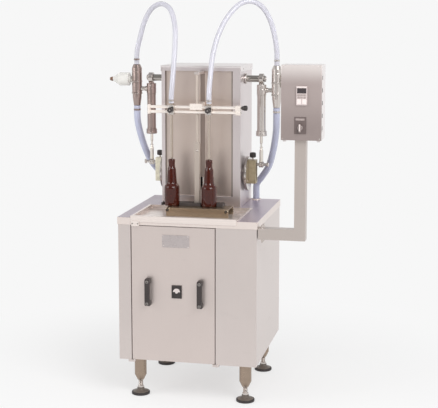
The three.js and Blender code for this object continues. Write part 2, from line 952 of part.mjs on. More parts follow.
function buildHousing(group) {
  const half = housingHalf;
  const shellBack = housingBack - sheet - seat;
  const walls = cut(
    block([-half, housingFront, onTable], [half, shellBack, shellTop]),
    block(
      [sheet - half, housingFront + sheet, onTable - overrun],
      [half - sheet, shellBack + overrun, shellTop + overrun],
    ),
  );
  const recess = block(
    [recessLeft - sheet, housingFront, recessBottom - sheet],
    [recessRight + sheet, recessBack + sheet, recessTop],
  );
  const recessSpace = block(
    [recessLeft, housingFront - overrun, recessBottom],
    [recessRight, recessBack, recessTop - sheet],
  );
  const slot = block(
    [guideX - slotHalf, housingFront - overrun, slotBottom],
    [guideX + slotHalf, recessBack + sheet + overrun, recessTop - slotTopGap],
  );
  const shaftHoles = bar(
    'x', shaftRadius + running, [0, pivotY, shaftHeight], -half - overrun, half + overrun,
  );
  const bearingHoles = bar(
    'x', bearingHubRadius + seat, [0, pivotY, crankHeight], -half - overrun, half + overrun,
  );
  const shell = cut(join(walls, recess), recessSpace, slot, shaftHoles, bearingHoles);
  piece(group, 'housing_shell', shell, steel);
}

function buildHousingLid(group) {
  const inside = housingHalf + seat;
  const outside = inside + sheet;
  const front = housingFront - seat - sheet;
  const top = block([-outside, front, housingTop - sheet], [outside, tableDepth, housingTop]);
  const skirts = sideNames.map(([, side]) => block(
    [side * inside, front, housingTop - lidSkirt],
    [side * outside, tableDepth, housingTop - sheet / 2],
  ));
  const frontSkirt = block(
    [-outside, front, housingTop - lidFrontSkirt],
    [outside, front + sheet, housingTop - sheet / 2],
  );
  piece(group, 'housing_lid', join(top, ...skirts, frontSkirt), steel);
}

function buildRearCover(group) {
  const plate = block(
    [-housingHalf, housingBack - sheet, onTable], [housingHalf, housingBack, shellTop],
  );
  const vents = Array.from({ length: ventCount }, (_, i) => block(
    [-ventWidth / 2, housingBack - sheet - overrun, ventTop - i * ventPitch - ventTall],
    [ventWidth / 2, housingBack + overrun, ventTop - i * ventPitch],
  ));
  piece(group, 'rear_cover', cut(plate, ...vents), steel);
}

// Guide post with its rod, and the bracket that ties the rod to the housing
function buildGuidePost(group) {
  const bracketTop = housingTop - bracketTopGap;
  const bracketBottom = bracketTop - bracketThickness;
  const post = block(
    [guideX - postHalf, guideY - postDepth / 2, trayFloor + seat],
    [guideX + postHalf, guideY + postDepth / 2, postTop],
  );
  const rod = bar('z', guideRadius, [guideX, guideY, 0], postTop - overrun, bracketTop);
  const bracket = block(
    [guideX - bracketHalf, guideY - bracketHalf, bracketBottom],
    [guideX + bracketHalf, housingFront - sheet - 2 * seat, bracketTop],
  );
  piece(group, 'guide_post', join(post, rod, bracket), polished);
}

// Carriage: an arm from the lift, out through the slot, to the twin-rail nozzle bar

function buildCarriage(group) {
  const front = railY - railRadius - armFrontMargin / 2;
  const back = liftY + liftRodRadius + railRadius;
  const padLeft = guideX - padHalf;
  const padRight = guideX + padHalf;
  const arm = cut(
    join(
      block([guideX - armHalf, front, armBottom], [guideX + armHalf, recessBack - slotHalf, armTop]),
      block([padLeft, front, armBottom], [padRight, railY + railRadius + clampWall, armTop]),
    ),
    bar('z', guideRadius + running, [guideX, guideY, 0], armBottom - overrun, armTop + overrun),
    bar('x', railRadius + seat, [0, railY, railUpper], padLeft - overrun, padRight + overrun),
  );
  const tongueHalf = slotHalf - slotClearance;
  const tongue = block(
    [guideX - tongueHalf, recessBack - 2 * slotHalf, armBottom], [guideX + tongueHalf, back, armTop],
  );
  const rod = bar(
    'z', liftRodRadius, [guideX, liftY, 0], armBottom - liftRodLength, armBottom + overrun,
  );
  piece(group, 'carriage_arm', join(arm, tongue, rod), steel);
  buildNozzleBar(group);
}

function buildNozzleBar(group) {
  const rails = [railUpper, railLower].map((height) => bar(
    'x', railRadius, [0, railY, height], railLeft, railRight,
  ));
  const bottom = railLower - railRadius - railEndMargin;
  const top = railUpper + railRadius + railEndMargin;
  const near = railY - railRadius - railEndMargin;
  const far = railY + railRadius + railEndMargin;
  const plate = block([railLeft, near, bottom], [railLeft + railPlateThickness, far, top]);
  const end = block([railRight - railBlockWidth, near, bottom], [railRight, far, top]);
  const socket = bar(
    'x', knobNeckRadius + running, [0, railY, railUpper], railRight - railBlockWidth / 2,
    railRight + overrun, smallSides,
  );
  piece(group, 'nozzle_bar', cut(join(...rails, plate, end), socket), polished);
  const knob = turned('x', [
    [0, railRight - railBlockWidth / 2 + seat], [knobNeckRadius, railRight - railBlockWidth / 2 + seat],
    [knobNeckRadius, railRight + railKnobNeck], [railKnobTipRadius, railRight + railKnobNeck],
    [railKnobRadius, railRight + railKnobNeck + railKnobLength * railKnobFlareShare],
    [railKnobRadius, railRight + railKnobNeck + railKnobLength],
    [0, railRight + railKnobNeck + railKnobLength],
  ], [0, railY, railUpper], smallSides);
  piece(group, 'rail_knob', knob, black);
}

// A nozzle, the clamp that holds it on both rails, and the clamp's knob
function buildNozzles(group) {
  sideNames.forEach(([side], i) => {
    const x = nozzleX[i];
    piece(group, `nozzle_clamp_${side}`, nozzleClamp(x), steel);
    piece(group, `nozzle_${side}`, nozzleTube(x), polished);
    piece(group, `nozzle_knob_${side}`, nozzleKnob(x), black);
  });
}

function clampFront() {
  return nozzleY - nozzleRadius - clampWall;
}

function nozzleClamp(x) {
  const body = block(
    [x - clampHalf, clampFront(), clampBottom],
    [x + clampHalf, railY + railRadius + clampWall, clampTop],
  );
  const rails = [railUpper, railLower].map((height) => bar(
    'x', railRadius + seat, [0, railY, height], x - clampHalf - overrun, x + clampHalf + overrun,
  ));
  const tube = bar(
    'z', nozzleRadius + seat, [x, nozzleY, 0], clampBottom - overrun, clampTop + overrun,
  );
  const bolt = bar(
    'y', knobBoltRadius + running, [x, 0, (railUpper + railLower) / 2], clampFront() - overrun,
    clampFront() + clampWall / 2, smallSides,
  );
  return cut(body, ...rails, tube, bolt);
}

function nozzleTube(x) {
  const collarBottom = clampTop + seat;
  const collarTop = collarBottom + nozzleCollarHeight;
  const barb = hoseInner - hoseBarbGap;
  return turned('z', [
    [nozzleBore, nozzleTip], [nozzleRadius - sheet / 2, nozzleTip],
    [nozzleRadius, nozzleTip + nozzleTipTaper],
    [nozzleRadius, collarBottom], [nozzleCollarRadius, collarBottom], [nozzleCollarRadius, collarTop],
    [barb, collarTop], [barb, collarTop + nozzleBarbLength], [nozzleBore, collarTop + nozzleBarbLength],
  ], [x, nozzleY, 0]);
}

function nozzleKnob(x) {
  const front = clampFront();
  const neckFront = front - seat - knobNeckLength;
  return turned('y', [
    [0, neckFront - knobLength], [knobRadius, neckFront - knobLength], [knobRadius, neckFront],
    [knobNeckRadius, neckFront], [knobNeckRadius, front - seat], [knobBoltRadius, front - seat],
    [knobBoltRadius, front + clampWall / 2 - seat], [0, front + clampWall / 2 - seat],
  ], [x, 0, (railUpper + railLower) / 2], smallSides);
}

function buildLiftCylinder(group) {
  const body = cut(
    bar('z', liftRadius, [guideX, liftY, 0], onTable, liftTop),
    bar(
      'z', liftRodRadius + running, [guideX, liftY, 0], onTable + liftFloorThickness,
      liftTop + overrun, smallSides,
    ),
    bar(
      'y', liftPortRadius, [guideX, 0, onTable + 2 * liftFloorThickness], liftY,
      liftY + liftRadius + overrun, smallSides,
    ),
  );
  piece(group, 'lift_cylinder', body, polished);
}

// Fixed shaft, crankshaft and its bearings

function hexNut(x, y, z, radius, from, to) {
  return bar('x', radius, [x, y, z], from, to, hexSides);
}

function buildSupportShaft(group) {
  const middle = bar('x', shaftRadius, [0, pivotY, shaftHeight], -shaftShoulder, shaftShoulder);
  const ends = bar('x', shaftPinRadius, [0, pivotY, shaftHeight], -shaftEnd, shaftEnd);
  const nuts = sideNames.map(([, side]) => hexNut(
    0, pivotY, shaftHeight, shaftNutRadius, side * (shaftEnd - shaftNutThickness), side * shaftEnd,
  ));
  piece(group, 'support_shaft', join(middle, ends, ...nuts), polished);
}

function buildCrank(group) {
  const flangeOut = housingHalf + seat + bearingFlange;
  const discIn = flangeOut + discGap;
  const discOut = discIn + discThickness;
  sideNames.forEach(([name, side]) => {
    const flangeIn = housingHalf + seat;
    const bearing = cut(
      join(
        bar('x', bearingRadius, [0, pivotY, crankHeight], side * flangeIn, side * flangeOut),
        bar(
          'x', bearingHubRadius, [0, pivotY, crankHeight], side * (flangeOut - bearingHubLength),
          side * flangeOut,
        ),
      ),
      bar('x', crankRadius + running, [0, pivotY, crankHeight], 0, side * (flangeOut + overrun)),
    );
    piece(group, `crank_bearing_${name}`, bearing, steel);
  });
  const shaft = bar('x', crankRadius, [0, pivotY, crankHeight], -discOut, discOut);
  const discs = sideNames.map(([, side]) => bar(
    'x', discRadius, [0, pivotY, crankHeight], side * discIn, side * discOut, fineSides,
  ));
  const sprocket = sidePlate(
    toothedOutline(sprocketRadius, sprocketTeeth, [pivotY, crankHeight]), chainX - sprocketHalf,
    chainX + sprocketHalf,
  );
  piece(group, 'crankshaft', join(shaft, ...discs, sprocket), steel);
  sideNames.forEach(([name, side]) => buildStrokeSlide(group, name, side, discOut + seat));
}

// Slotted block on each crank disc that sets the throw, with its adjusting screw
function buildStrokeSlide(group, name, side, blockIn) {
  const bottom = crankHeight - strokeBlockBelow;
  const top = crankHeight + strokeBlockAbove;
  const centre = side * (blockIn + strokeBlockOut) / 2;
  const body = cut(
    block(
      [side * blockIn, pivotY - strokeBlockHalf, bottom],
      [side * strokeBlockOut, pivotY + strokeBlockHalf, top],
    ),
    block(
      [side * (strokeBlockOut - strokeSlotDepth), pivotY - strokeSlotHalf, bottom + strokeSlotEnd],
      [side * (strokeBlockOut + overrun), pivotY + strokeSlotHalf, top - strokeSlotEnd],
    ),
    bar(
      'z', strokeScrewRadius + running, [centre, pivotY, 0], top - strokeScrewDepth, top + overrun,
      smallSides,
    ),
  );
  piece(group, `stroke_block_${name}`, body, brass);
  const knobBottom = top + strokeKnobNeck;
  const knobTop = knobBottom + strokeKnobHeight;
  const roundShare = 0.7;
  const shoulder = (strokeKnobHeight - strokeKnobRadius) / 2;
  const screw = turned('z', [
    [0, top - strokeScrewDepth + seat], [strokeScrewRadius, top - strokeScrewDepth + seat],
    [strokeScrewRadius, knobBottom], [strokeKnobRadius * roundShare, knobBottom],
    [strokeKnobRadius, knobBottom + shoulder], [strokeKnobRadius, knobTop - shoulder],
    [strokeKnobRadius * roundShare, knobTop], [0, knobTop],
  ], [centre, pivotY, 0], smallSides);
  piece(group, `stroke_screw_${name}`, screw, black);
}

// Chain drive and gear motor in the cabinet

function loopPoints(extra) {
  const upper = circlePoints(sprocketRadius + extra, fineSides / 2, [pivotY, crankHeight], 0, Math.PI);
  const lower = circlePoints(
    driveRadius + extra, fineSides / 2, [pivotY, driveHeight], Math.PI, Math.PI,
  );
  return [...upper, ...lower];
}

function buildChainDrive(group) {
  const outer = sidePlate(
    loopPoints(chainGap + chainThickness), chainX - chainHalf, chainX + chainHalf,
  );
  const inner = sidePlate(
    loopPoints(chainGap), chainX - chainHalf - overrun, chainX + chainHalf + overrun,
  );
  piece(group, 'drive_chain', cut(outer, inner), steel);
  const wheel = sidePlate(
    toothedOutline(driveRadius, driveTeeth, [pivotY, driveHeight]), chainX - sprocketHalf,
    chainX + sprocketHalf,
  );
  const shaftEndX = gearboxX + driveShaftDepth - seat;
  const shaft = bar(
    'x', driveShaftRadius, [0, pivotY, driveHeight], driveShaftInner, shaftEndX, smallSides,
  );
  piece(group, 'drive_sprocket', join(wheel, shaft), steel);
}

function buildGearMotor(group) {
  const right = gearboxX + gearboxWidth;
  const bottom = driveHeight - gearboxTall;
  const middle = gearboxX + gearboxWidth / 2;
  const floor = bodyBottom + sheet + seat;
  const box = block([gearboxX, pivotY - gearboxHalf, bottom], [right, pivotY + gearboxHalf, driveTop]);
  const motorBack = pivotY - gearboxHalf;
  const finned = Array.from({ length: motorFins }, (_, i) => {
    const y = motorBack - motorLength + motorLength * (i + 1) / (motorFins + 1);
    const tip = motorRadius + motorFinHeight;
    return [
      [motorRadius, y - motorFinHalf], [tip, y - motorFinHalf], [tip, y + motorFinHalf],
      [motorRadius, y + motorFinHalf],
    ];
  });
  const motor = turned('y', [
    [0, motorBack - motorLength], [motorRadius, motorBack - motorLength], ...finned.flat(),
    [motorRadius, motorBack + overrun], [0, motorBack + overrun],
  ], [middle, 0, driveHeight]);
  const terminalBox = block(
    [middle - motorBoxHalf, motorBack - motorLength / 2 - motorBoxHalf, driveHeight + motorRadius / 2],
    [
      middle + motorBoxHalf, motorBack - motorLength / 2 + motorBoxHalf,
      driveHeight + motorRadius + motorBoxTall,
    ],
  );
  const legs = [gearboxX, right - standPlate].map((x) => block(
    [x, pivotY - standFlange, floor],
    [x + standPlate, pivotY + standFlange, bottom + overrun],
  ));
  const feet = [gearboxX - standFlange + standPlate, right - standPlate].map((x) => block(
    [x, pivotY - standFlange, floor],
    [x + standFlange, pivotY + standFlange, floor + standPlate],
  ));
  const bore = bar(
    'x', driveShaftRadius + running, [0, pivotY, driveHeight], gearboxX - overrun,
    gearboxX + driveShaftDepth, smallSides,
  );
  piece(group, 'gear_motor', cut(join(box, motor, terminalBox, ...legs, ...feet), bore), painted);
}

// One measuring unit per side. Its group hangs at the shaft, so heights are drops below it.

function buildUnit(group, name, side) {
  const unit = new THREE.Group();
  unit.position.set(side * unitX, pivotY, shaftHeight);
  group.add(unit);
  piece(unit, `cylinder_${name}`, measuringCylinder(side), polished);
  piece(unit, `piston_rod_${name}`, pistonRod(side), polished);
  piece(unit, `check_valve_${name}`, checkValve(side), polished);
  piece(unit, `surge_chamber_${name}`, surgeChamber(side), clear);
}

function measuringCylinder(side) {
  const bodyOutline = [
    [0, -capBottomDrop], [capRadius, -capBottomDrop], [capRadius, -barrelBottomDrop],
    [barrelRadius, -barrelBottomDrop], [barrelRadius, -headBottomDrop], [headRadius, -headBottomDrop],
    [headRadius, -headTopDrop], [0, -headTopDrop],
  ];
  const body = join(
    turned('z', bodyOutline, [0, 0, 0]),
    bar('x', eyeRadius, [0, 0, 0], -eyeHalf, eyeHalf),
    block(
      [-neckHalfWidth, -neckHalfDepth, -headTopDrop - overrun],
      [neckHalfWidth, neckHalfDepth, -shaftPinRadius - overrun],
    ),
    bar('x', portBossRadius, [0, 0, -portDrop], 0, side * portBossOut),
  );
  return cut(
    body,
    bar('x', shaftPinRadius + seat, [0, 0, 0], -eyeHalf - overrun, eyeHalf + overrun),
    bar('z', barrelBore, [0, 0, 0], capFloor - capBottomDrop, -boreTopDrop),
    bar('z', rodRadius + running, [0, 0, 0], -capBottomDrop - overrun, -barrelBottomDrop, smallSides),
    bar('z', portRadius, [0, 0, 0], -boreTopDrop - overrun, -portDrop, smallSides),
    bar('x', portRadius, [0, 0, -portDrop], 0, side * (portBossOut + overrun), smallSides),
  );
}

// Piston, rod, fork, eye and crank pin, as one driven piece
function pistonRod(side) {
  const pistonRadius = barrelBore - seat;
  const pistonBottom = -pistonTopDrop - pistonHeight;
  const grooveTop = pistonBottom + (pistonHeight + pistonGrooveHeight) / 2;
  const pinIn = strokeBlockOut + 2 * seat - unitX;
  const pinOut = crankPinEnd - unitX;
  const outline = [
    [0, -rodForkEndDrop], [rodForkRadius, -rodForkEndDrop], [rodForkRadius, -rodForkDrop],
    [rodThinRadius, -rodForkDrop + rodForkRadius], [rodThinRadius, -rodStepDrop],
    [rodRadius, -rodStepDrop],
    [rodRadius, pistonBottom], [pistonRadius, pistonBottom],
    [pistonRadius, grooveTop - pistonGrooveHeight],
    [pistonRadius - pistonGroove, grooveTop - pistonGrooveHeight],
    [pistonRadius - pistonGroove, grooveTop],
    [pistonRadius, grooveTop], [pistonRadius, -pistonTopDrop], [0, -pistonTopDrop],
  ];
  return join(
    turned('z', outline, [0, 0, 0]),
    bar('x', rodEyeRadius, [0, 0, -pinDrop], -rodEyeHalf, rodEyeHalf),
    block(
      [-rodForkRadius, -rodForkRadius, -pinDrop],
      [rodForkRadius, rodForkRadius, overrun - rodForkEndDrop],
    ),
    bar('x', crankPinRadius, [0, 0, -pinDrop], side * pinIn, side * pinOut, smallSides),
    bar(
      'x', pinKnobRadius, [0, 0, -pinDrop], side * (pinOut - pinKnobLength), side * pinOut,
      smallSides,
    ),
  );
}

// Check valve: a bored body with a barb at each end and a tube to the cylinder's port
function checkValve(side) {
  const upperBarb = hoseInner - hoseBarbGap;
  const lowerBarb = supplyInner - hoseBarbGap;
  const grooveTop = (valveBodyRise - valveBodyDrop) / 2;
  const grooveBottom = grooveTop - valveGrooveWidth;
  const bottom = -valveConeDrop - lowerBarbLength;
  const top = valveCapRise + upperBarbLength;
  const outline = [
    [0, bottom], [lowerBarb, bottom], [lowerBarb, -valveConeDrop], [valveConeRadius, -valveConeDrop],
    [valveLowerRadius, -valveLowerDrop], [valveLowerRadius, -valveBodyDrop],
    [valveRadius, -valveBodyDrop], [valveRadius, grooveBottom],
    [valveRadius - valveGroove, grooveBottom], [valveRadius - valveGroove, grooveTop],
    [valveRadius, grooveTop], [valveRadius, valveBodyRise + valveCapStep],
    [valveCapRadius, valveCapRise], [upperBarb, valveCapRise], [upperBarb, top], [0, top],
  ];
  const x = side * valveOut;
  const tubeEnd = portBossOut + seat;
  const body = join(
    turned('z', outline, [x, 0, 0]),
    bar('x', productTubeRadius, [0, 0, -portDrop], x, side * tubeEnd),
    bar('x', chamberBossRadius, [0, 0, -surgeDrop], x, x + side * (valveRadius + chamberBossLength)),
  );
  return cut(
    body,
    bar('z', valveBore, [x, 0, 0], bottom - overrun, top + overrun, smallSides),
    bar(
      'z', valveChamberRadius, [x, 0, 0], valveChamberMargin - valveBodyDrop,
      valveBodyRise - valveChamberMargin,
    ),
    bar('x', portRadius, [0, 0, -portDrop], x, side * (tubeEnd - overrun), smallSides),
    bar(
      'x', valveBore, [0, 0, -surgeDrop], x,
      x + side * (valveRadius + chamberBossLength + overrun),
      smallSides,
    ),
  );
}

function surgeChamber(side) {
  const start = valveOut + valveRadius + chamberBossLength + seat;
  const stations = [
    [surgeNeckRadius, 0], [surgeNeckRadius, surgeNeckLength], [surgeRadius, surgeNeckLength],
    [surgeRadius, surgeNeckLength + surgeBodyLength],
    [surgeTipRadius, surgeNeckLength + surgeBodyLength + surgeConeLength],
    [surgeTipRadius, surgeNeckLength + surgeBodyLength + surgeConeLength + surgeTipLength],
  ];
  const tip = surgeNeckLength + surgeBodyLength + surgeConeLength;
  const inside = [
    [0, tip - surgeWall], [surgeTipRadius - surgeWall, tip - surgeWall],
    [surgeRadius - surgeWall, surgeNeckLength + surgeBodyLength],
    [surgeRadius - surgeWall, surgeNeckLength + surgeWall],
    [surgeNeckRadius - surgeWall, surgeNeckLength + surgeWall], [surgeNeckRadius - surgeWall, 0],
  ];
  const outline = [...stations, [0, tip + surgeTipLength], ...inside];
  const placed = outline.map(([radius, along]) => [radius, side * (start + along)]);
  return turned('x', placed, [0, 0, -surgeDrop]);
}

// Hoses, as routes of hand-chosen points in the head's frame

const dischargeRoutes = {
  left: [
    [-346, 462, 1538.6], [-346, 462, 1573], [-343, 461, 1605], [-328, 455, 1660], [-299, 441, 1745],
    [-256, 416, 1806], [-200, 380, 1829], [-146, 340, 1806], [-115, 305, 1740], [-104, 275, 1660],
    [-104, 242, 1540], [-107, 224, 1450], [-109.5, 219, 1408], [-109.5, 219, 1370.9],
  ],
  right: [
    [346, 462, 1538.6], [346, 462, 1572], [345, 461, 1608], [338, 457, 1662], [316, 447, 1750],
    [279, 426, 1815], [236, 403, 1840], [190, 377, 1831], [135, 340, 1772], [97, 305, 1688],
    [77, 270, 1594], [71, 240, 1490], [70, 224, 1440], [69.5, 219, 1406], [69.5, 219, 1370.9],
  ],
};

const supplyRoute = [
  [346, 462, 1336.4], [346, 462, 1314], [346, 462, 1288], [345, 467, 1257], [341, 480, 1216],
  [322, 512, 1122], [295, 548, 1044], [256, 587, 986], [225, 609, 944], [222, 612, 918],
  [222, 612, 894], [222, 612, 871.6],
];

function buildHoses(group) {
  sideNames.forEach(([name, side]) => {
    const over = hose(dischargeRoutes[name], hoseOuter, hoseInner, dischargeSteps);
    piece(group, `discharge_hose_${name}`, over, milky);
    const route = supplyRoute.map(([x, y, z]) => [side * x, y, z]);
    piece(group, `supply_hose_${name}`, hose(route, supplyOuter, supplyInner, supplySteps), bluish);
  });
}

// Control box and the arm that carries it

function buildControlArm(group) {
  const half = armTube / 2;
  const low = armCentreHeight - half;
  const high = armCentreHeight + half;
  const back = armY + armTube;
  const flangeIn = tableWidth / 2 + seat + armPadThickness;
  const flangeOut = flangeIn + armFlangeThickness;
  const arm = cut(
    join(
      block([tableWidth / 2 + seat, armY, low], [uprightX + half, back, high]),
      block([uprightX - half, armY, low], [uprightX + half, back, boxBottom - seat]),
      block([flangeIn, armY, low - armFlangeMargin], [flangeOut, back, high + armFlangeMargin]),
    ),
    block(
      [tableWidth / 2 - overrun, armY + armTubeWall, low + armTubeWall],
      [uprightX + half - armTubeWall, back - armTubeWall, high - armTubeWall],
    ),
    block(
      [uprightX - half + armTubeWall, armY + armTubeWall, low + armTubeWall],
      [uprightX + half - armTubeWall, back - armTubeWall, boxBottom + overrun],
    ),
  );
  piece(group, 'control_arm', arm, steel);
}

function buildControlBox(group) {
  const left = boxX - boxWidth / 2;
  const right = boxX + boxWidth / 2;
  const doorBack = boxFront + boxDoorThickness;
  const caseFront = doorBack + seat;
  const caseBack = boxFront + boxDepth;
  const half = armTube / 2 - 2 * armTubeWall;
  const shell = cut(
    block([left, caseFront, boxBottom], [right, caseBack, boxTop]),
    block(
      [left + boxWall, caseFront + boxWall, boxBottom + boxWall],
      [right - boxWall, caseBack - boxWall, boxTop - boxWall],
    ),
    block(
      [left + boxLip, caseFront - overrun, boxBottom + boxLip],
      [right - boxLip, caseFront + boxWall + overrun, boxTop - boxLip],
    ),
    block(
      [uprightX - half, armY + 2 * armTubeWall, boxBottom - overrun],
      [uprightX + half, armY + armTube - 2 * armTubeWall, boxBottom + boxWall + overrun],
    ),
  );
  const lugs = [left + boxLugWidth, right - boxLugWidth].map((x) => block(
    [x - boxLugWidth / 2, caseFront, boxBottom - boxLugDrop],
    [x + boxLugWidth / 2, caseFront + boxLugThickness, boxBottom + boxWall / 2],
  ));
  piece(group, 'control_box_case', join(shell, ...lugs), steel);
  buildControlDoor(group, left, right, doorBack);
}

function buildControlDoor(group, left, right, doorBack) {
  const plateFront = boxFront - switchPlateThickness;
  const door = cut(
    join(
      block([left, boxFront, boxBottom], [right, doorBack, boxTop]),
      block(
        [switchX - switchPlateWidth / 2, plateFront, switchPlateBottom],
        [switchX + switchPlateWidth / 2, boxFront + boxWall, switchPlateTop],
      ),
    ),
    block(
      [left + boxWall, boxFront + boxWall, boxBottom + boxWall],
      [right - boxWall, doorBack + overrun, boxTop - boxWall],
    ),
    bar(
      'y', switchGripHalf + running, [switchX, 0, switchHeight], plateFront - overrun, doorBack,
      smallSides,
    ),
  );
  piece(group, 'control_box_door', door, steel);
  piece(group, 'display_unit', displayUnit(), black);
  const knobBack = plateFront - seat;
  const knobFront = knobBack - switchLength;
  const knob = join(
    bar('y', switchRadius, [switchX, 0, switchHeight], knobFront, knobBack),
    block(
      [switchX - switchGripHalf, knobFront - switchGripLength, switchHeight - switchGripReach],
      [switchX + switchGripHalf, knobBack, switchHeight + switchGripReach],
    ),
    bar(
      'y', switchGripHalf, [switchX, 0, switchHeight], knobBack - seat, boxFront + boxWall,
      smallSides,
    ),
  );
  piece(group, 'selector_knob', knob, black);
}

// Display with a window over a keypad of two columns
function displayUnit() {
  const back = boxFront - seat;
  const front = back - displayThickness;
  const left = displayX - displayWidth / 2 + displayWindowMargin;
  const right = displayX + displayWidth / 2 - displayWindowMargin;
  const windowTop = displayTop - displayWindowMargin;
  const windowBottom = windowTop - displayWindowHeight;
  const body = cut(
    block(
      [displayX - displayWidth / 2, front, displayBottom],
      [displayX + displayWidth / 2, back, displayTop],
    ),
    block([left, front - overrun, windowBottom], [right, front + displayWindowDepth, windowTop]),
  );
  const keyWidth = (right - left - keyGap * (keyColumns - 1)) / keyColumns;
  const keyTall = (windowBottom - displayBottom - keyGap * (keyRows + 1)) / keyRows;
  const keys = [];
  for (let row = 0; row < keyRows; row += 1) {
    for (let column = 0; column < keyColumns; column += 1) {
      const x = left + column * (keyWidth + keyGap);
      const z = displayBottom + keyGap + row * (keyTall + keyGap);
      keys.push(block([x, front - keyRise, z], [x + keyWidth, front + keyRise, z + keyTall]));
    }
  }
  return join(body, ...keys);
}

// The whole machine

const machine = new THREE.Group();
const head = new THREE.Group();
head.position.x = headX;
machine.add(head);

buildCabinet(machine);
buildBaseFrame(machine);
buildFeet(machine);
buildFrontPanel(machine);
buildTable(machine);
buildDripTray(machine);
buildBottleStand(head);
buildLocator(head);
buildBottles(head);
buildHousing(head);
buildHousingLid(head);
buildRearCover(head);
buildGuidePost(head);
buildCarriage(head);
buildNozzles(head);
buildLiftCylinder(head);
buildSupportShaft(head);
buildCrank(head);
buildChainDrive(head);
buildGearMotor(head);
sideNames.forEach(([name, side]) => buildUnit(head, name, side));
buildHoses(head);
buildControlArm(machine);
buildControlBox(machine);

// The origin goes under the middle of the machine's box.
const reach = new THREE.Box3().setFromObject(machine);
machine.position.set(-(reach.min.x + reach.max.x) / 2, -(reach.min.y + reach.max.y) / 2, -reach.min.z);
machine.updateMatrixWorld(true);

export default machine;
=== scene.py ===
# A two-head piston filling machine: its looks, the floor, the light and the camera.
# Places are millimetres in the machine's own frame unless a line says otherwise: x from the middle
# of the cabinet, y back from the front of its table, z up from the floor. Pieces of the head are
# placed from the head's own middle, which stands a little to the left of the cabinet's.

import math

import bmesh
import bpy
from mathutils import Matrix, Vector


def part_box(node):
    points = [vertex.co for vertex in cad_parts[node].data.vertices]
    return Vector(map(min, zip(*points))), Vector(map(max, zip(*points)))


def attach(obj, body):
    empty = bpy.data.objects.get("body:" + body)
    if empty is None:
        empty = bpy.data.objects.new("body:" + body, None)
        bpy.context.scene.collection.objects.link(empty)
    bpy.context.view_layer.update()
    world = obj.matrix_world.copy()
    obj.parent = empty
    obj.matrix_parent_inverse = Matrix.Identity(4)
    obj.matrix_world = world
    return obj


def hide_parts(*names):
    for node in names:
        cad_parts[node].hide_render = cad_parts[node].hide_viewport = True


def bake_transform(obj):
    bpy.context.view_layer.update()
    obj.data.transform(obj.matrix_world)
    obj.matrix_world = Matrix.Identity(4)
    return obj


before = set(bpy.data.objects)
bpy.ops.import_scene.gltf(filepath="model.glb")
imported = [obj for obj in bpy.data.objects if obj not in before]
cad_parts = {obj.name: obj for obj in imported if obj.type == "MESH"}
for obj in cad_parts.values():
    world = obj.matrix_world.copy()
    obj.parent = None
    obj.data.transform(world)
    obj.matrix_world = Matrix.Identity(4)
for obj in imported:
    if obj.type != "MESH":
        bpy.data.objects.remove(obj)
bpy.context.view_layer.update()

bl_info = {
    "name": "Piston filling machine",
    "version": (1, 0, 0),
    "blender": (4, 5, 0),
    "location": "View3D > Sidebar > Filling machine",
    "description": "Dresses a two-head filling machine with its surfaces, hoses, floor and lamps",
    "category": "Object",
}

MM = 0.001
SIDES = (("left", -1), ("right", 1))

# The table's box gives the machine's own origin.
TABLE_LOW, TABLE_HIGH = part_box("table_top")
ORIGIN = Vector(((TABLE_LOW[0] + TABLE_HIGH[0]) / 2, TABLE_LOW[1], 0.0))
HEAD_X = -14.0


def level(node, high=True):
    """The height of a frame part's top or foot in millimetres."""
    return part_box(node)[1 if high else 0][2] / MM


def near(node):
    """How far back the front of a frame part lies, in millimetres."""
    return (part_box(node)[0][1] - ORIGIN.y) / MM


def far(node):
    """How far back the back of a frame part lies, in millimetres."""
    return (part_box(node)[1][1] - ORIGIN.y) / MM


def width(node):
    """How wide a frame part is, in millimetres."""
    return (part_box(node)[1][0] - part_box(node)[0][0]) / MM


def to_metres(point, x=HEAD_X):
    """A place in millimetres from the head's middle, or from another one, as Blender has it."""
    return ORIGIN + Vector((point[0] + x, point[1], point[2])) * MM


# Places that several pieces or their materials share
TABLE_TOP = level("housing_shell", False) - 0.3
PIVOT_Y = (near("support_shaft") + far("support_shaft")) / 2
SHAFT_Z = (level("support_shaft") + level("support_shaft", False)) / 2
CRANK_Z = (level("crank_bearing_left") + level("crank_bearing_left", False)) / 2
UNIT_X = 273.0
VALVE_X = 346.0
GUIDE_X = 7.0
RAIL_END = 216.0
PIN_Z = CRANK_Z + 45.0
NOZZLE_X = {"left": -109.5, "right": 69.5}
NOZZLE_Y = 219.0
RAIL_Y = 236.0
RAIL_UPPER = TABLE_TOP + 487.0
RAIL_LOWER = RAIL_UPPER - 23.0
LEG_X = 252.0
LEG_Y = {"front": 110.0, "rear": 585.0}
GUIDE_Y = 250.0
VALVE_PORT_Z = 1420.0
CHAMBER_Z = 1465.5
CHAMBER_START = 375.8
STAND_KNOB_Y = 136.0
STAND_KNOB_Z = 881.3
RECESS_LEFT = -175.0
RECESS_RIGHT = 155.0
RECESS_DEPTH = 11.0

# Heights in metres between which the box door's painted highlight at its head and painted shade at its foot
# fade in, from and to
DOOR_HIGHLIGHT_FADE = (1.475, 1.572)
DOOR_FOOT_SHADE_FADE = (1.46, 1.28)

# The two sides' like parts take different copies of one steel and one bronze: the left steel is a darker
# copy in painted shade, and the left bronze a paler copy
UNIT_SKIN = {"left": "dim", "right": "turned"}
BLOCK_SKIN = {"left": "pale_bronze", "right": "bronze"}

# The camera that was fitted to the photograph, its angles in degrees
CAMERA_PLACE = (1204.0, -4848.0, 1793.0)
CAMERA_LENS = 92.684
CAMERA_TILT = 7.732
CAMERA_TURN = 12.258
CAMERA_SHIFT = -0.09

# Each lamp's place, the place that it points at, and its two sides in metres
KEY_LAMP = ((2300, -2500, 3100), (0, 300, 1000), (2.2, 2.2))
FILL_LAMP = ((-2900, -1700, 2300), (0, 300, 900), (2.4, 2.0))

# The floor in metres: half its side, and how far from the machine its shadow starts to fade and is gone
FLOOR_REACH = 30.0
SHADOW_FADE = (0.45, 1.7)

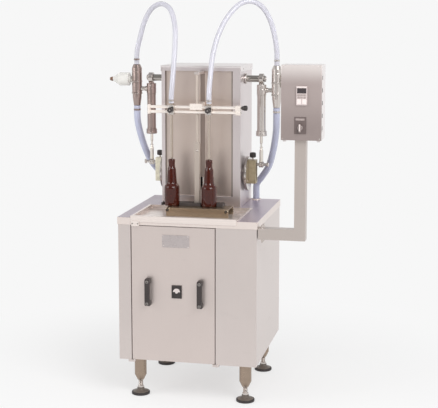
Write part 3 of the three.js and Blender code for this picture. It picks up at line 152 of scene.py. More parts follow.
# The room's dark near side: its colour, where it starts and is full, and its share of the soft light
DARK_ROOM = (64, 50, 44)
NEAR_SIDE = (-0.72, -0.94)
SOFT_SHARE = 0.8

# The room that shines in the metal: brightness by height, from straight down to straight up
ROOM_STOPS = [
    (at, (value,) * 3)
    for at, value in ((0.0, 0.9), (0.42, 0.62), (0.5, 0.93), (0.68, 0.93), (0.82, 0.5), (1.0, 0.42))
]


def from_bytes(red, green, blue):
    """A colour picked on a screen, as the linear light that a material needs."""
    def linear(value):
        share = value / 255
        return share / 12.92 if share <= 0.04045 else ((share + 0.055) / 1.055) ** 2.4
    return tuple(linear(value) for value in (red, green, blue))


# Settings that a user would change


def colour(name, description, shade):
    return bpy.props.FloatVectorProperty(
        name=name, description=description, default=from_bytes(*shade), subtype="COLOR", size=3,
        min=0.0, max=1.0,
    )


def length(name, description, millimetres):
    return bpy.props.FloatProperty(
        name=name, description=description, default=millimetres * MM, min=0.0, precision=5, unit="LENGTH",
    )


class FILLER_PG_colours(bpy.types.PropertyGroup):
    sheet: colour("Sheet", "Brushed stainless sheet of the cabinet and the rear cover", (214, 204, 200))
    panel: colour("Front panel", "Brushed sheet of the front panel", (214, 202, 197))
    recess: colour("Recess", "Shaded sheet in the front of the housing", (212, 197, 188))
    # The table's colour is darker than the sheet's: painted shade.
    table: colour("Table", "Scuffed sheet of the table top", (182, 170, 180))
    tray: colour("Tray", "Polished tray", (232, 221, 215))
    turned: colour("Turned steel", "Turned valve and cylinder bodies", (212, 205, 200))
    bar: colour("Bright bar", "Ground and polished bars", (228, 222, 214))
    bronze: colour("Bronze", "Slotted blocks of the crank", (170, 156, 130))
    plastic: colour("Black plastic", "Knobs, handles and locator", (52, 46, 45))
    rubber: colour("Rubber", "Pads of the feet", (50, 44, 44))
    glass: colour("Bottle glass", "Amber glass", (88, 31, 17))
    clear: colour("Clear plastic", "Surge chambers", (255, 252, 248))
    milky: colour("Upper hoses", "Whitish discharge hoses", (230, 229, 238))
    bluish: colour("Lower hoses", "Bluish supply hoses", (216, 219, 240))
    paint: colour("Paint", "Painted castings of the drive", (92, 104, 114))
    plate: colour("Plate", "Bare satin plate", (196, 187, 186))
    dial: colour("Control plastic", "Dark plate behind the switch", (84, 73, 71))
    keys: colour("Keys", "Light keys, pointer and latch grip", (216, 205, 202))


class FILLER_PG_sizes(bpy.types.PropertyGroup):
    edge: length("Sheet edge", "Rounding of folded sheet edges", 0.8)
    block_edge: length("Block edge", "Rounding of machined blocks", 1.0)
    discharge: length("Upper hose radius", "Outer radius of the discharge hoses", 12.2)
    discharge_bore: length("Upper hose bore", "Bore radius of the discharge hoses", 9.2)
    supply: length("Lower hose radius", "Outer radius of the supply hoses", 16.2)
    supply_bore: length("Lower hose bore", "Bore radius of the supply hoses", 12.3)


class FILLER_PG_stage(bpy.types.PropertyGroup):
    backdrop: bpy.props.FloatProperty(
        name="Backdrop", description="Brightness of the plain background, where 1 is white", default=0.93,
        min=0.0, max=1.0, subtype="FACTOR",
    )
    ambient: bpy.props.FloatProperty(
        name="Ambient", description="Brightness of the soft light from all round", default=0.62, min=0.0,
    )
    dark_side: bpy.props.FloatProperty(
        name="Dark side", description="How much the room's dark near side shows in metal and dims the light",
        default=0.8, min=0.0, max=1.0, subtype="FACTOR",
    )
    key: bpy.props.FloatProperty(
        name="Key lamp", description="Power of the large lamp at the right", default=120.0, min=0.0,
        unit="POWER",
    )
    fill: bpy.props.FloatProperty(
        name="Fill lamp", description="Power of the large lamp at the left", default=45.0, min=0.0,
        unit="POWER",
    )


# Shader building


class Link:
    """A node's output, on which Python's signs make Math nodes."""

    def __init__(self, graph, socket):
        self.graph = graph
        self.socket = socket

    def apply(self, operation, one, other):
        return self.graph.node("ShaderNodeMath", {"operation": operation}, {0: one, 1: other})

    def __add__(self, other):
        return self.apply("ADD", self, other)

    def __radd__(self, other):
        return self.apply("ADD", other, self)

    def __sub__(self, other):
        return self.apply("SUBTRACT", self, other)

    def __rsub__(self, other):
        return self.apply("SUBTRACT", other, self)

    def __mul__(self, other):
        return self.apply("MULTIPLY", self, other)

    def __rmul__(self, other):
        return self.apply("MULTIPLY", other, self)


class Graph:
    """The nodes of a material or of the world, made one by one with what they are fed."""

    def __init__(self, tree):
        self.tree = tree
        self.tree.nodes.clear()

    def node(self, kind, settings=None, values=None, output=0):
        made = self.tree.nodes.new(kind)
        for name, value in (settings or {}).items():
            if name == "stops":
                self.set_stops(made.color_ramp, value)
            else:
                setattr(made, name, value)
        for name, value in (values or {}).items():
            self.feed(made.inputs[name], value)
        return Link(self, made.outputs[output])

    def set_stops(self, ramp, stops):
        while len(ramp.elements) < len(stops):
            ramp.elements.new(1.0)
        for element, (position, shade) in zip(ramp.elements, stops):
            element.position = position
            element.color = (*shade, 1.0)

    def feed(self, socket, value):
        if isinstance(value, Link):
            self.tree.links.new(value.socket, socket)
        elif isinstance(value, (tuple, list)) and len(value) == 3 and socket.type == "RGBA":
            socket.default_value = (*value, 1.0)
        else:
            socket.default_value = value

    def ramp(self, value, low, high, start=0.0):
        """A soft step of a value, from its start at one place up to 1 at the other."""
        return self.node("ShaderNodeMapRange", {"interpolation_type": "SMOOTHSTEP"}, {
            "Value": value, "From Min": low, "From Max": high, "To Min": start,
        })

    def mix(self, factor, one, other):
        return self.node("ShaderNodeMix", {"data_type": "RGBA"}, {0: factor, 6: one, 7: other}, 2)

    def mix_shaders(self, factor, one, other):
        return self.node("ShaderNodeMixShader", None, {0: factor, 1: one, 2: other})

    def background(self, shade, strength=1.0):
        return self.node("ShaderNodeBackground", None, {"Color": shade, "Strength": strength})

    def ray(self, kind):
        return self.node("ShaderNodeLightPath", output=kind)


class Sheet(Graph):
    """A material under construction: a Principled shader, its output and the nodes that feed it."""

    def __init__(self, name):
        self.material = bpy.data.materials.new(name)
        self.material.use_nodes = True
        super().__init__(self.material.node_tree)
        self.shader = self.tree.nodes.new("ShaderNodeBsdfPrincipled")
        self.output = self.tree.nodes.new("ShaderNodeOutputMaterial")
        self.tree.links.new(self.shader.outputs[0], self.output.inputs["Surface"])
        self.places = self.node("ShaderNodeTexCoord", output="Object")

    def stretch(self, scale):
        return self.node("ShaderNodeMapping", None, {"Vector": self.places, "Scale": scale})

    def noise(self, vector, scale, detail, roughness):
        return self.node("ShaderNodeTexNoise", None, {
            "Vector": vector, "Scale": scale, "Detail": detail, "Roughness": roughness,
        }, "Fac")

    def tint(self, factor, shade, low, high):
        """A shade, made from low to high times as bright as the factor grows."""
        return self.mix(factor, shaded(shade, low), shaded(shade, high))

    def coordinate(self, axis):
        return self.node("ShaderNodeSeparateXYZ", None, {0: self.places}, axis)

    def facing_up(self):
        normal = self.node("ShaderNodeTexCoord", output="Normal")
        return self.ramp(self.node("ShaderNodeSeparateXYZ", None, {0: normal}, "Z"), 0.6, 0.9)

    def bump(self, height, depth, strength=1.0):
        """Depth is in millimetres."""
        self.set("Normal", self.node("ShaderNodeBump", None, {
            "Height": height, "Distance": depth * MM, "Strength": strength,
        }, "Normal"))

    def set(self, name, value):
        self.feed(self.shader.inputs[name], value)

    def done(self, **constants):
        for name, value in constants.items():
            self.set(name.replace("_", " "), value)
        return self.material


def shaded(shade, factor):
    """A shade made darker or lighter by a factor, up to white."""
    return tuple(min(1.0, value * factor) for value in shade)


# Materials

UPRIGHT_GRAIN = (1500.0, 1500.0, 7.0)
LEVEL_GRAIN = (7.0, 1500.0, 1500.0)


def brushed(name, shade, grain, roughness, metallic=0.85, smudge=1.0):
    """Brushed sheet: fine grain one way, broad soft smudges and a few faint scuffs."""
    sheet = Sheet(name)
    lines = sheet.noise(sheet.stretch(grain), 1.0, 3.0, 0.65)
    cloud = sheet.noise(sheet.places, 3.1, 3.0, 0.6)
    scuff = sheet.ramp(sheet.noise(sheet.stretch((9.0, 9.0, 26.0)), 1.0, 4.0, 0.7), 0.6, 0.78)
    tone = lines * 0.45 + cloud * 0.55
    base = sheet.tint(tone, shade, 1 - 0.11 * smudge, 1 + 0.09 * smudge)
    sheet.set("Base Color", sheet.mix(scuff * 0.25, base, shaded(shade, 0.86)))
    sheet.set("Roughness", lines * 0.14 + cloud * 0.12 * smudge + scuff * 0.06 + (roughness - 0.13))
    sheet.bump(lines, 0.03, 0.5)
    return sheet.done(Metallic=metallic)


def recessed(name, shade, inner):
    """The housing's sheet, with painted shade in the recess of its front and a painted shadow at its two
    upright folds.
    """
    sheet = Sheet(name)
    lines = sheet.noise(sheet.stretch(UPRIGHT_GRAIN), 1.0, 3.0, 0.65)
    cloud = sheet.noise(sheet.places, 2.6, 3.0, 0.6)
    floor_y = (near("housing_shell") + RECESS_DEPTH) * MM + ORIGIN.y
    left = to_metres((RECESS_LEFT, 0.0, 0.0)).x
    right = to_metres((RECESS_RIGHT, 0.0, 0.0)).x
    depth = sheet.coordinate("Y")
    across_it = sheet.coordinate("X")
    past_left = sheet.ramp(across_it, left - 0.006, left - 0.003)
    between = sheet.ramp(across_it, right + 0.006, right + 0.003) * past_left
    ahead = sheet.ramp(depth, floor_y + 0.02, floor_y + 0.018) * between
    recess_shade_mask = sheet.ramp(depth, floor_y - 0.001, floor_y) * ahead
    behind_front = sheet.ramp(depth, floor_y - 0.0105, floor_y - 0.0095) * ahead
    # Painted shadow: dark bands just inside the recess's two upright folds.
    right_fold_shadow = sheet.ramp(across_it, right - 0.011, right - 0.006)
    left_fold_shadow = sheet.ramp(across_it, left + 0.007, left + 0.003)
    fold_shadow = (right_fold_shadow + left_fold_shadow) * behind_front
    tone = lines * 0.4 + cloud * 0.6
    light = sheet.tint(tone, shade, 0.92, 1.07)
    # Painted shade: inside the recess the sheet takes the darker recess colour.
    dark = sheet.tint(tone, inner, 0.86, 1.12)
    sheet.set("Base Color", sheet.mix(fold_shadow * 0.8, sheet.mix(recess_shade_mask, light, dark), shaded(inner, 0.42)))
    sheet.set("Roughness", lines * 0.14 + cloud * 0.14 + 0.2)
    sheet.bump(lines, 0.03, 0.5)
    return sheet.done(Metallic=0.85)


def face_with_painted_light(name, head, middle, foot):
    """The box door's sheet: fine upright grain, with a painted highlight at its head and painted shade at
    its foot.
    """
    sheet = Sheet(name)
    lines = sheet.noise(sheet.stretch(UPRIGHT_GRAIN), 1.0, 3.0, 0.65)
    cloud = sheet.noise(sheet.places, 3.1, 3.0, 0.6)
    height = sheet.coordinate("Z")
    upper = sheet.ramp(height, *DOOR_HIGHLIGHT_FADE)
    lower = sheet.ramp(height, *DOOR_FOOT_SHADE_FADE)
    tone = lines * 0.45 + cloud * 0.55
    fine = sheet.tint(tone, middle, 0.94, 1.05)
    low = sheet.tint(tone, foot, 0.94, 1.05)
    sheet.set("Base Color", sheet.mix(upper, sheet.mix(lower, fine, low), head))
    sheet.set("Roughness", lines * 0.14 + cloud * 0.1 + 0.27)
    sheet.bump(lines, 0.03, 0.5)
    return sheet.done(Metallic=0.55)


def scuffed_and_shaded_table(name, shade, lip):
    """The table: a wiped top in painted shade, darker than its bright brushed edge, and painted lighter at
    its right than at its left.
    """
    sheet = Sheet(name)
    lines = sheet.noise(sheet.stretch(LEVEL_GRAIN), 1.0, 3.0, 0.6)
    cloud = sheet.noise(sheet.places, 5.0, 4.0, 0.62)
    wiped = sheet.ramp(sheet.noise(sheet.stretch((40.0, 14.0, 14.0)), 1.0, 5.0, 0.7), 0.45, 0.75)
    tone = lines * 0.25 + cloud * 0.75
    # Painted light: the top grows lighter from its left to its right.
    along = sheet.ramp(sheet.coordinate("X"), -0.3, 0.3)
    worn = sheet.tint(along, shade, 0.7, 0.9)
    clean = sheet.tint(along, shade, 1.08, 1.4)
    top = sheet.mix(tone, worn, clean)
    top = sheet.mix(wiped * 0.3, top, shaded(shade, 1.4))
    edge = sheet.tint(tone, lip, 0.92, 1.06)
    # Painted shade: faces that look up take the darker top, the others the bright edge.
    sheet.set("Base Color", sheet.mix(sheet.facing_up(), edge, top))
    sheet.set("Roughness", lines * 0.12 + cloud * 0.2 + wiped * 0.1 + 0.16)
    sheet.bump(lines, 0.03, 0.4)
    return sheet.done(Metallic=0.6)


def lathe_turned(name, shade, axis, roughness, rings=2200.0, dark=0.9, metallic=1.0):
    """Turned metal, with fine rings about its axis and a little staining."""
    sheet = Sheet(name)
    scale = [1.5, 1.5, 1.5]
    scale["XYZ".index(axis)] = rings
    lines = sheet.noise(sheet.stretch(tuple(scale)), 1.0, 2.0, 0.6)
    stain = sheet.noise(sheet.places, 34.0, 3.0, 0.6)
    tone = lines * 0.5 + stain * 0.5
    sheet.set("Base Color", sheet.tint(tone, shade, dark, 1.06))
    sheet.set("Roughness", lines * 0.12 + stain * 0.1 + (roughness - 0.11))
    sheet.bump(lines, 0.02, 0.5)
    return sheet.done(Metallic=metallic)


def dull_bronze(name, shade):
    """Cast bronze, tarnished in patches and worn bright along its edges."""
    sheet = Sheet(name)
    lines = sheet.noise(sheet.stretch((500.0, 500.0, 30.0)), 1.0, 3.0, 0.6)
    tarnish = sheet.ramp(sheet.noise(sheet.places, 60.0, 4.0, 0.6), 0.35, 0.7)
    worn = sheet.ramp(sheet.node("ShaderNodeNewGeometry", output="Pointiness"), 0.52, 0.6)
    base = sheet.tint(tarnish * 0.8 + lines * 0.2, shade, 1.12, 0.62)
    sheet.set("Base Color", sheet.mix(worn * 0.6, base, shaded(shade, 1.5)))
    sheet.set("Roughness", tarnish * 0.2 + lines * 0.1 + 0.26)
    sheet.bump(lines, 0.04, 0.5)
    return sheet.done(Metallic=0.9)


def moulded(name, shade, roughness=0.42, grain=1400.0, coat=0.0, dust_shade=1.6):
    """Moulded plastic or rubber: a fine leather-like skin, patches of dust, rubbed edges."""
    sheet = Sheet(name)
    skin = sheet.noise(sheet.places, grain, 2.0, 0.6)
    dust = sheet.noise(sheet.places, 45.0, 4.0, 0.65)
    rubbed = sheet.ramp(sheet.node("ShaderNodeNewGeometry", output="Pointiness"), 0.51, 0.58)
    base = sheet.tint(sheet.ramp(dust, 0.4, 0.75) * 0.5, shade, 0.85, dust_shade)
    sheet.set("Base Color", sheet.mix(rubbed * 0.5, base, shaded(shade, dust_shade * 1.2)))
    sheet.set("Roughness", skin * 0.1 + dust * 0.16 + (roughness - 0.13))
    sheet.bump(skin, 0.06, 0.6)
    return sheet.done(Coat_Weight=coat)


def bottle_glass(name, shade):
    """Amber glass, with the faint waves of a mould."""
    sheet = Sheet(name)
    wave = sheet.noise(sheet.stretch((30.0, 30.0, 12.0)), 1.0, 2.0, 0.5)
    film = sheet.ramp(sheet.noise(sheet.places, 70.0, 4.0, 0.6), 0.55, 0.8)
    sheet.set("Base Color", sheet.tint(wave, shade, 0.8, 1.15))
    sheet.set("Roughness", film * 0.08 + 0.03)
    sheet.bump(wave, 0.5, 0.25)
    return sheet.done(
        Transmission_Weight=0.5, IOR=1.5, Coat_Weight=0.2, Coat_Roughness=0.02, Specular_IOR_Level=0.2,
    )


def clear_moulding(name, shade):
    """A clear moulded shell, a little hazy, with faint lines of flow."""
    sheet = Sheet(name)
    flow = sheet.noise(sheet.stretch((12.0, 60.0, 60.0)), 1.0, 3.0, 0.6)
    haze = sheet.noise(sheet.places, 55.0, 3.0, 0.6)
    sheet.set("Base Color", sheet.tint(haze, shade, 0.9, 1.02))
    sheet.set("Roughness", flow * 0.12 + haze * 0.12 + 0.08)
    sheet.bump(flow, 0.2, 0.3)
    return sheet.done(Transmission_Weight=0.4, IOR=1.45)


def hose_wall(name, shade, clear, scale):
    """A soft hose: cloudy wall, faint lengthwise streaks and a glossy skin."""
    sheet = Sheet(name)
    cloud = sheet.noise(sheet.places, scale, 3.0, 0.6)
    streak = sheet.noise(sheet.stretch((420.0, 420.0, 14.0)), 1.0, 2.0, 0.5)
    tone = cloud * 0.9 + streak * 0.1
    sheet.set("Base Color", sheet.tint(tone, shade, 0.95, 1.03))
    sheet.set("Roughness", cloud * 0.06 + 0.22)
    sheet.bump(cloud, 0.03, 0.2)
    return sheet.done(Transmission_Weight=clear, IOR=1.42, Coat_Weight=0.35, Coat_Roughness=0.12)


def painted_casting(name, shade):
    """Hammer-like paint on a casting, chipped a little at its edges."""
    sheet = Sheet(name)
    pebble = sheet.noise(sheet.places, 420.0, 2.0, 0.5)
    grime = sheet.noise(sheet.places, 22.0, 4.0, 0.65)
    chipped = sheet.ramp(sheet.node("ShaderNodeNewGeometry", output="Pointiness"), 0.53, 0.6)
    base = sheet.tint(sheet.ramp(grime, 0.35, 0.75), shade, 1.12, 0.7)
    sheet.set("Base Color", sheet.mix(chipped * 0.5, base, shaded(shade, 2.2)))
    sheet.set("Roughness", grime * 0.2 + 0.36)
    sheet.bump(pebble, 0.12, 0.5)
    return sheet.done(Coat_Weight=0.15)


def satin_plate(name, shade):
    """A satin plate, with the smears that hands leave."""
    sheet = Sheet(name)
    lines = sheet.noise(sheet.stretch((20.0, 1500.0, 1500.0)), 1.0, 2.0, 0.5)
    smears = sheet.noise(sheet.places, 48.0, 4.0, 0.6)
    tone = lines * 0.3 + smears * 0.7
    sheet.set("Base Color", sheet.tint(tone, shade, 0.84, 1.12))
    sheet.set("Roughness", lines * 0.15 + smears * 0.15 + 0.15)
    sheet.bump(lines, 0.02, 0.5)
    return sheet.done(Metallic=0.9)


def dark_window(name):
    """The display's smoked window, uneven in its dark and glossy."""
    sheet = Sheet(name)
    smoke = sheet.noise(sheet.places, 90.0, 3.0, 0.6)
    sheet.set("Base Color", sheet.mix(smoke, (0.012, 0.008, 0.01), (0.035, 0.02, 0.024)))
    sheet.set("Roughness", smoke * 0.1 + 0.05)
    return sheet.done(Coat_Weight=0.6, Coat_Roughness=0.04)


# The material that each skin's name stands for
MATERIALS = {}


def make_materials(colours):
    sheet = tuple(colours.sheet)
    MATERIALS.update({
        "sheet": brushed("brushed_sheet", sheet, UPRIGHT_GRAIN, 0.34),
        "panel": brushed("brushed_panel", tuple(colours.panel), UPRIGHT_GRAIN, 0.38, 0.8, 0.8),
        # The box door: a painted highlight at its head and painted shade at its foot.
        "face": face_with_painted_light(
            "box_face", from_bytes(222, 214, 211), from_bytes(174, 161, 158), from_bytes(156, 143, 140),
        ),
        "post": brushed("post_steel", from_bytes(190, 178, 168), UPRIGHT_GRAIN, 0.36, 0.6, 1.0),
        "arm": brushed("arm_sheet", from_bytes(192, 182, 176), UPRIGHT_GRAIN, 0.38, 0.7, 0.9),
        # Painted light: the lid and the box case take a lighter copy of the brushed sheet.
        "lid": brushed("lid_sheet", from_bytes(232, 226, 225), LEVEL_GRAIN, 0.34, 0.6, 0.6),
        # Painted highlight: the rails and the carriage's pads are lighter copies of the bright bar and the
        # sheet.
        "rail": lathe_turned("rail_steel", from_bytes(250, 241, 234), "X", 0.2, 900.0, 0.96, 0.45),
        "pad": brushed("pad_steel", from_bytes(244, 234, 226), LEVEL_GRAIN, 0.3, 0.45, 0.6),
        "dull_keys": moulded("grey_keys", from_bytes(150, 138, 135), 0.45, 1800.0, 0.0, 1.1),
        "mid_keys": moulded("mid_keys", from_bytes(184, 171, 169), 0.45, 1800.0, 0.0, 1.06),
        "cap": moulded("foot_cap", from_bytes(104, 94, 86), 0.4, 900.0, 0.1, 1.3),
        "recess": recessed("housing_sheet", from_bytes(222, 213, 213), tuple(colours.recess)),
        "table": scuffed_and_shaded_table("table_sheet", tuple(colours.table), from_bytes(228, 216, 210)),
        "tray": brushed("polished_tray", tuple(colours.tray), LEVEL_GRAIN, 0.28, 0.6, 0.7),
        "stand": brushed("stand_sheet", from_bytes(190, 172, 148), LEVEL_GRAIN, 0.2, 0.9, 1.4),
        "turned": lathe_turned("turned_steel", tuple(colours.turned), "Z", 0.22),
        "turned_x": lathe_turned("turned_steel_across", tuple(colours.turned), "X", 0.22),
        "turned_y": lathe_turned("turned_steel_fore", tuple(colours.turned), "Y", 0.22),
        "bar": lathe_turned("bright_bar", tuple(colours.bar), "Z", 0.13, 900.0, 0.94),
        "bar_x": lathe_turned("bright_bar_across", tuple(colours.bar), "X", 0.13, 900.0, 0.94),
        "shaft": lathe_turned("oiled_shaft", shaded(tuple(colours.bar), 0.6), "X", 0.16, 900.0, 0.7),
        # Painted shade: the legs take a darker copy of the turned steel.
        "leg": lathe_turned("leg_steel", from_bytes(170, 152, 136), "Z", 0.24, 1200.0, 0.7),
        # Painted shade: the left unit's steel is a darker copy of the turned steel.
        "dim": lathe_turned("shaded_steel", from_bytes(180, 162, 156), "Z", 0.2, 2200.0, 0.62),
        "tube": lathe_turned("nozzle_steel", from_bytes(196, 183, 171), "Z", 0.2, 900.0, 0.85),
        "pale_bronze": dull_bronze("pale_bronze", from_bytes(226, 214, 194)),
        "iron": lathe_turned("drive_steel", shaded(tuple(colours.turned), 0.5), "X", 0.36, 900.0, 0.7),
        "bronze": dull_bronze("dull_bronze", tuple(colours.bronze)),
        "plastic": moulded("black_moulding", tuple(colours.plastic)),
        "rubber": moulded("pad_rubber", tuple(colours.rubber), 0.62, 900.0),
        "glass": bottle_glass("amber_bottle_glass", tuple(colours.glass)),
        "clear": clear_moulding("clear_moulding", tuple(colours.clear)),
        # The slot shutter's sheet is coloured in painted shade.
        "shutter_in_painted_shade": brushed("shutter_sheet", from_bytes(150, 135, 127), UPRIGHT_GRAIN, 0.4, 0.6),
        "tip": moulded("brown_tip", (0.17, 0.085, 0.05), 0.3, 1400.0, 0.3),
        "milky": hose_wall("whitish_hose", tuple(colours.milky), 0.4, 26.0),
        "bluish": hose_wall("bluish_hose", tuple(colours.bluish), 0.35, 22.0),
        "paint": painted_casting("drive_paint", tuple(colours.paint)),
        "plate": satin_plate("satin_plate", tuple(colours.plate)),
        "dial": moulded("control_moulding", tuple(colours.dial), 0.34, 1800.0, 0.15),
        "keys": moulded("light_keys", tuple(colours.keys), 0.45, 1800.0, 0.0, 1.04),
        "window": dark_window("smoked_window"),
    })


# Mesh building


# A face this much narrower than the next one is its eased edge, and isn't shaded over past the first
# angle. Between other faces the second angle is shaded over. A frame part's folds past the third are
# eased. All three are in degrees.
NARROW_SHARE = 0.12
FLAT_ANGLE = 2
ROUND_ANGLE = 48
FOLD_ANGLE = 30


def round_off(form, edges, edge, segments=2, clamp=True):
    bmesh.ops.bevel(
        form, geom=list(edges), offset=edge, offset_type="OFFSET", segments=segments, profile=0.5,
        affect="EDGES", material=-1, clamp_overlap=clamp,
    )


def soft_line(line, areas, crease):
    """Whether a line is shaded over: not between a wide flat face and its rounded edge."""
    angle = line.calc_face_angle(0)
    low, high = sorted(areas[face] for face in line.link_faces)
    if low < NARROW_SHARE * high:
        return angle < math.radians(FLAT_ANGLE)
    return angle < crease


def bar_profile(radius, low, high):
    """What a plain round bar is spun from."""
    return [(0, low), (radius, low), (radius, high), (0, high)]


def ring_profile(inner, outer, low, high):
    """What a plain ring is spun from."""
    return [(inner, low), (outer, low), (outer, high), (inner, high)]


def to_side(sign, profile):
    """A profile drawn for the right side, turned over where the sign is that of the left one."""
    return [(radius, sign * along) for radius, along in profile]


class Piece:
    """A mesh in progress in millimetres, whose faces each take one of its skins."""

    def __init__(self, name, *skins, x=0.0):
        self.name = name
        self.skins = skins
        self.x = x
        self.mesh = bmesh.new()

    def join(self, form, skin):
        """Adds a finished form, its faces pointing outwards and taking one skin."""
        bmesh.ops.recalc_face_normals(form, faces=form.faces)
        for face in form.faces:
            face.material_index = skin
        data = bpy.data.meshes.new("form")
        form.to_mesh(data)
        form.free()
        self.mesh.from_mesh(data)
        bpy.data.meshes.remove(data)

    def box(self, low, high, edge=0.8, skin=0):
        """A block between two corners, with its edges rounded."""
        form = bmesh.new()
        bmesh.ops.create_cube(form, size=1.0)
        bmesh.ops.scale(form, vec=Vector(high) - Vector(low), verts=form.verts)
        bmesh.ops.translate(form, vec=(Vector(low) + Vector(high)) / 2, verts=form.verts)
        round_off(form, form.edges, edge)
        self.join(form, skin)

    def turned(self, profile, centre, axis="Z", edge=0.7, sides=48, skin=0, flutes=0, flute_depth=0.0):
        """A lathe-turned form: (radius, height) pairs spun about an axis through the centre."""
        form = bmesh.new()
        verts = [form.verts.new((radius, 0.0, height)) for radius, height in profile]
        for pair in zip(verts, verts[1:]):
            form.edges.new(pair)
        for before, corner, after in zip(profile, profile[1:], profile[2:]):
            self.ease_corner(form, before, corner, after, edge)
        bmesh.ops.spin(
            form, geom=form.verts[:] + form.edges[:], cent=(0, 0, 0), axis=(0, 0, 1), dvec=(0, 0, 0),
            angle=math.tau, steps=sides, use_merge=True, use_duplicate=False,
        )
        bmesh.ops.remove_doubles(form, verts=form.verts, dist=0.0005)
        widest = max(vert.co.xy.length for vert in form.verts)
        for vert in form.verts if flutes else []:
            wave = math.cos(flutes * math.atan2(vert.co.y, vert.co.x))
            if vert.co.xy.length > widest * 0.75 and wave < 0:
                vert.co.xy *= 1 - flute_depth / widest
        if axis != "Z":
            about, angle = ("Y", math.pi / 2) if axis == "X" else ("X", -math.pi / 2)
            turn = Matrix.Rotation(angle, 3, about)
            bmesh.ops.rotate(form, cent=(0, 0, 0), matrix=turn, verts=form.verts)
        bmesh.ops.translate(form, vec=centre, verts=form.verts)
        self.join(form, skin)

    def ease_corner(self, form, before, corner, after, edge):
        """Rounds one corner of a profile, by less where its sides are short."""
        before, corner, after = (Vector((radius, 0.0, height)) for radius, height in (before, corner, after))
        sides = corner - before, after - corner
        short = min(side.length for side in sides)
        if edge <= 0 or short < 0.02 or sides[0].normalized().dot(sides[1].normalized()) > 0.985:
            return
        found = min(form.verts, key=lambda vert: (vert.co - corner).length)
        if len(found.link_edges) == 2:
            bmesh.ops.bevel(
                form, geom=[found], offset=min(edge, 0.4 * short), offset_type="OFFSET", segments=2,
                profile=0.5, affect="VERTICES", material=-1, clamp_overlap=False,
            )

    def prism(self, outline, left, right, edge):
        """An outline seen from the side, drawn out from left to right, with its corners rounded."""
        form = bmesh.new()
        face = form.faces.new([form.verts.new((left, y, z)) for y, z in outline])
        grown = bmesh.ops.extrude_face_region(form, geom=[face])["geom"]
        tips = [part for part in grown if isinstance(part, bmesh.types.BMVert)]
        bmesh.ops.translate(form, vec=(right - left, 0.0, 0.0), verts=tips)
        bmesh.ops.recalc_face_normals(form, faces=form.faces)
        round_off(form, [line for line in form.edges if line.calc_face_angle(0) > 0.4], edge, 3)
        self.join(form, 0)

    def screw(self, centre, axis, radius, skin, proud):
        """A dome screw head with a socket; a negative height turns it round."""
        sign = 1 if proud > 0 else -1
        self.turned([
            (0, proud * 0.35), (radius * 0.42, proud * 0.35), (radius * 0.42, proud),
            (radius * 0.7, proud), (radius, proud * 0.5), (radius, -0.2 * sign),
        ], centre, axis, 0.3, 20, skin)

    def clip(self, centre, radius, skin, wide):
        """A worm-drive hose clip: a level band with a screw housing across its front."""
        band = ring_profile(radius - 0.6, radius + 0.9, -wide / 2, wide / 2)
        self.turned(band, centre, "Z", 0.4, 40, skin)
        middle = (centre[0], centre[1] - (radius + 0.7 + 2.6), centre[2])
        half = (6.5, 2.9, wide * 0.42)
        tip = (centre[0] - 9.5, middle[1], centre[2])
        self.box([m - h for m, h in zip(middle, half)], [m + h for m, h in zip(middle, half)], 0.7, skin)
        self.turned(bar_profile(3.4, 0, 3.2), tip, "X", 0.4, 6, skin)

    def copied(self, node, edge):
        """A frame part's shape with its edges eased, for sheet and machined blocks."""
        form = bmesh.new()
        form.from_mesh(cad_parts[node].data)
        bmesh.ops.translate(form, vec=-ORIGIN, verts=form.verts)
        bmesh.ops.scale(form, vec=(1 / MM,) * 3, verts=form.verts)
        bmesh.ops.translate(form, vec=(-self.x, 0, 0), verts=form.verts)
        bmesh.ops.remove_doubles(form, verts=form.verts, dist=0.002)
        bmesh.ops.dissolve_limit(
            form, angle_limit=math.radians(0.4), use_dissolve_boundaries=False, verts=form.verts,
            edges=form.edges, delimit=set(),
        )
        bmesh.ops.recalc_face_normals(form, faces=form.faces)
        room = {vert: min(line.calc_length() for line in vert.link_edges) for vert in form.verts}
        chosen = [
            line for line in form.edges
            if len(line.link_faces) == 2 and line.calc_face_angle(0) > math.radians(FOLD_ANGLE)
            and min(room[vert] for vert in line.verts) > 2.4 * edge
        ]
        if chosen:
            round_off(form, chosen, edge, clamp=False)
        self.join(form, 0)

    def place(self, body, slot, *nodes, crease=ROUND_ANGLE):
        """The finished object: in metres, at its place, on its body, standing for its frame parts."""
        mesh = self.mesh
        bmesh.ops.translate(mesh, vec=(self.x, 0, 0), verts=mesh.verts)
        bmesh.ops.scale(mesh, vec=(MM,) * 3, verts=mesh.verts)
        bmesh.ops.translate(mesh, vec=ORIGIN, verts=mesh.verts)
        for face in mesh.faces:
            face.smooth = True
        areas = {face: face.calc_area() for face in mesh.faces}
        for line in mesh.edges:
            line.smooth = len(line.link_faces) == 2 and soft_line(line, areas, math.radians(crease))
        data = bpy.data.meshes.new(self.name)
        mesh.to_mesh(data)
        mesh.free()
        for skin in self.skins:
            data.materials.append(MATERIALS[skin])
        made = bpy.data.objects.new(self.name, data)
        bpy.context.scene.collection.objects.link(made)
        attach(made, body)
        if nodes:
            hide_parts(*nodes)


def eased_copy(name, skin, node, edge, body, slot="stainless_sheet", x=0.0):
    """A piece that is one frame part's shape with its edges eased, and stands for that part."""
    piece = Piece(name, skin, x=x)
    piece.copied(node, edge)
    piece.place(body, slot, node)


# Hoses

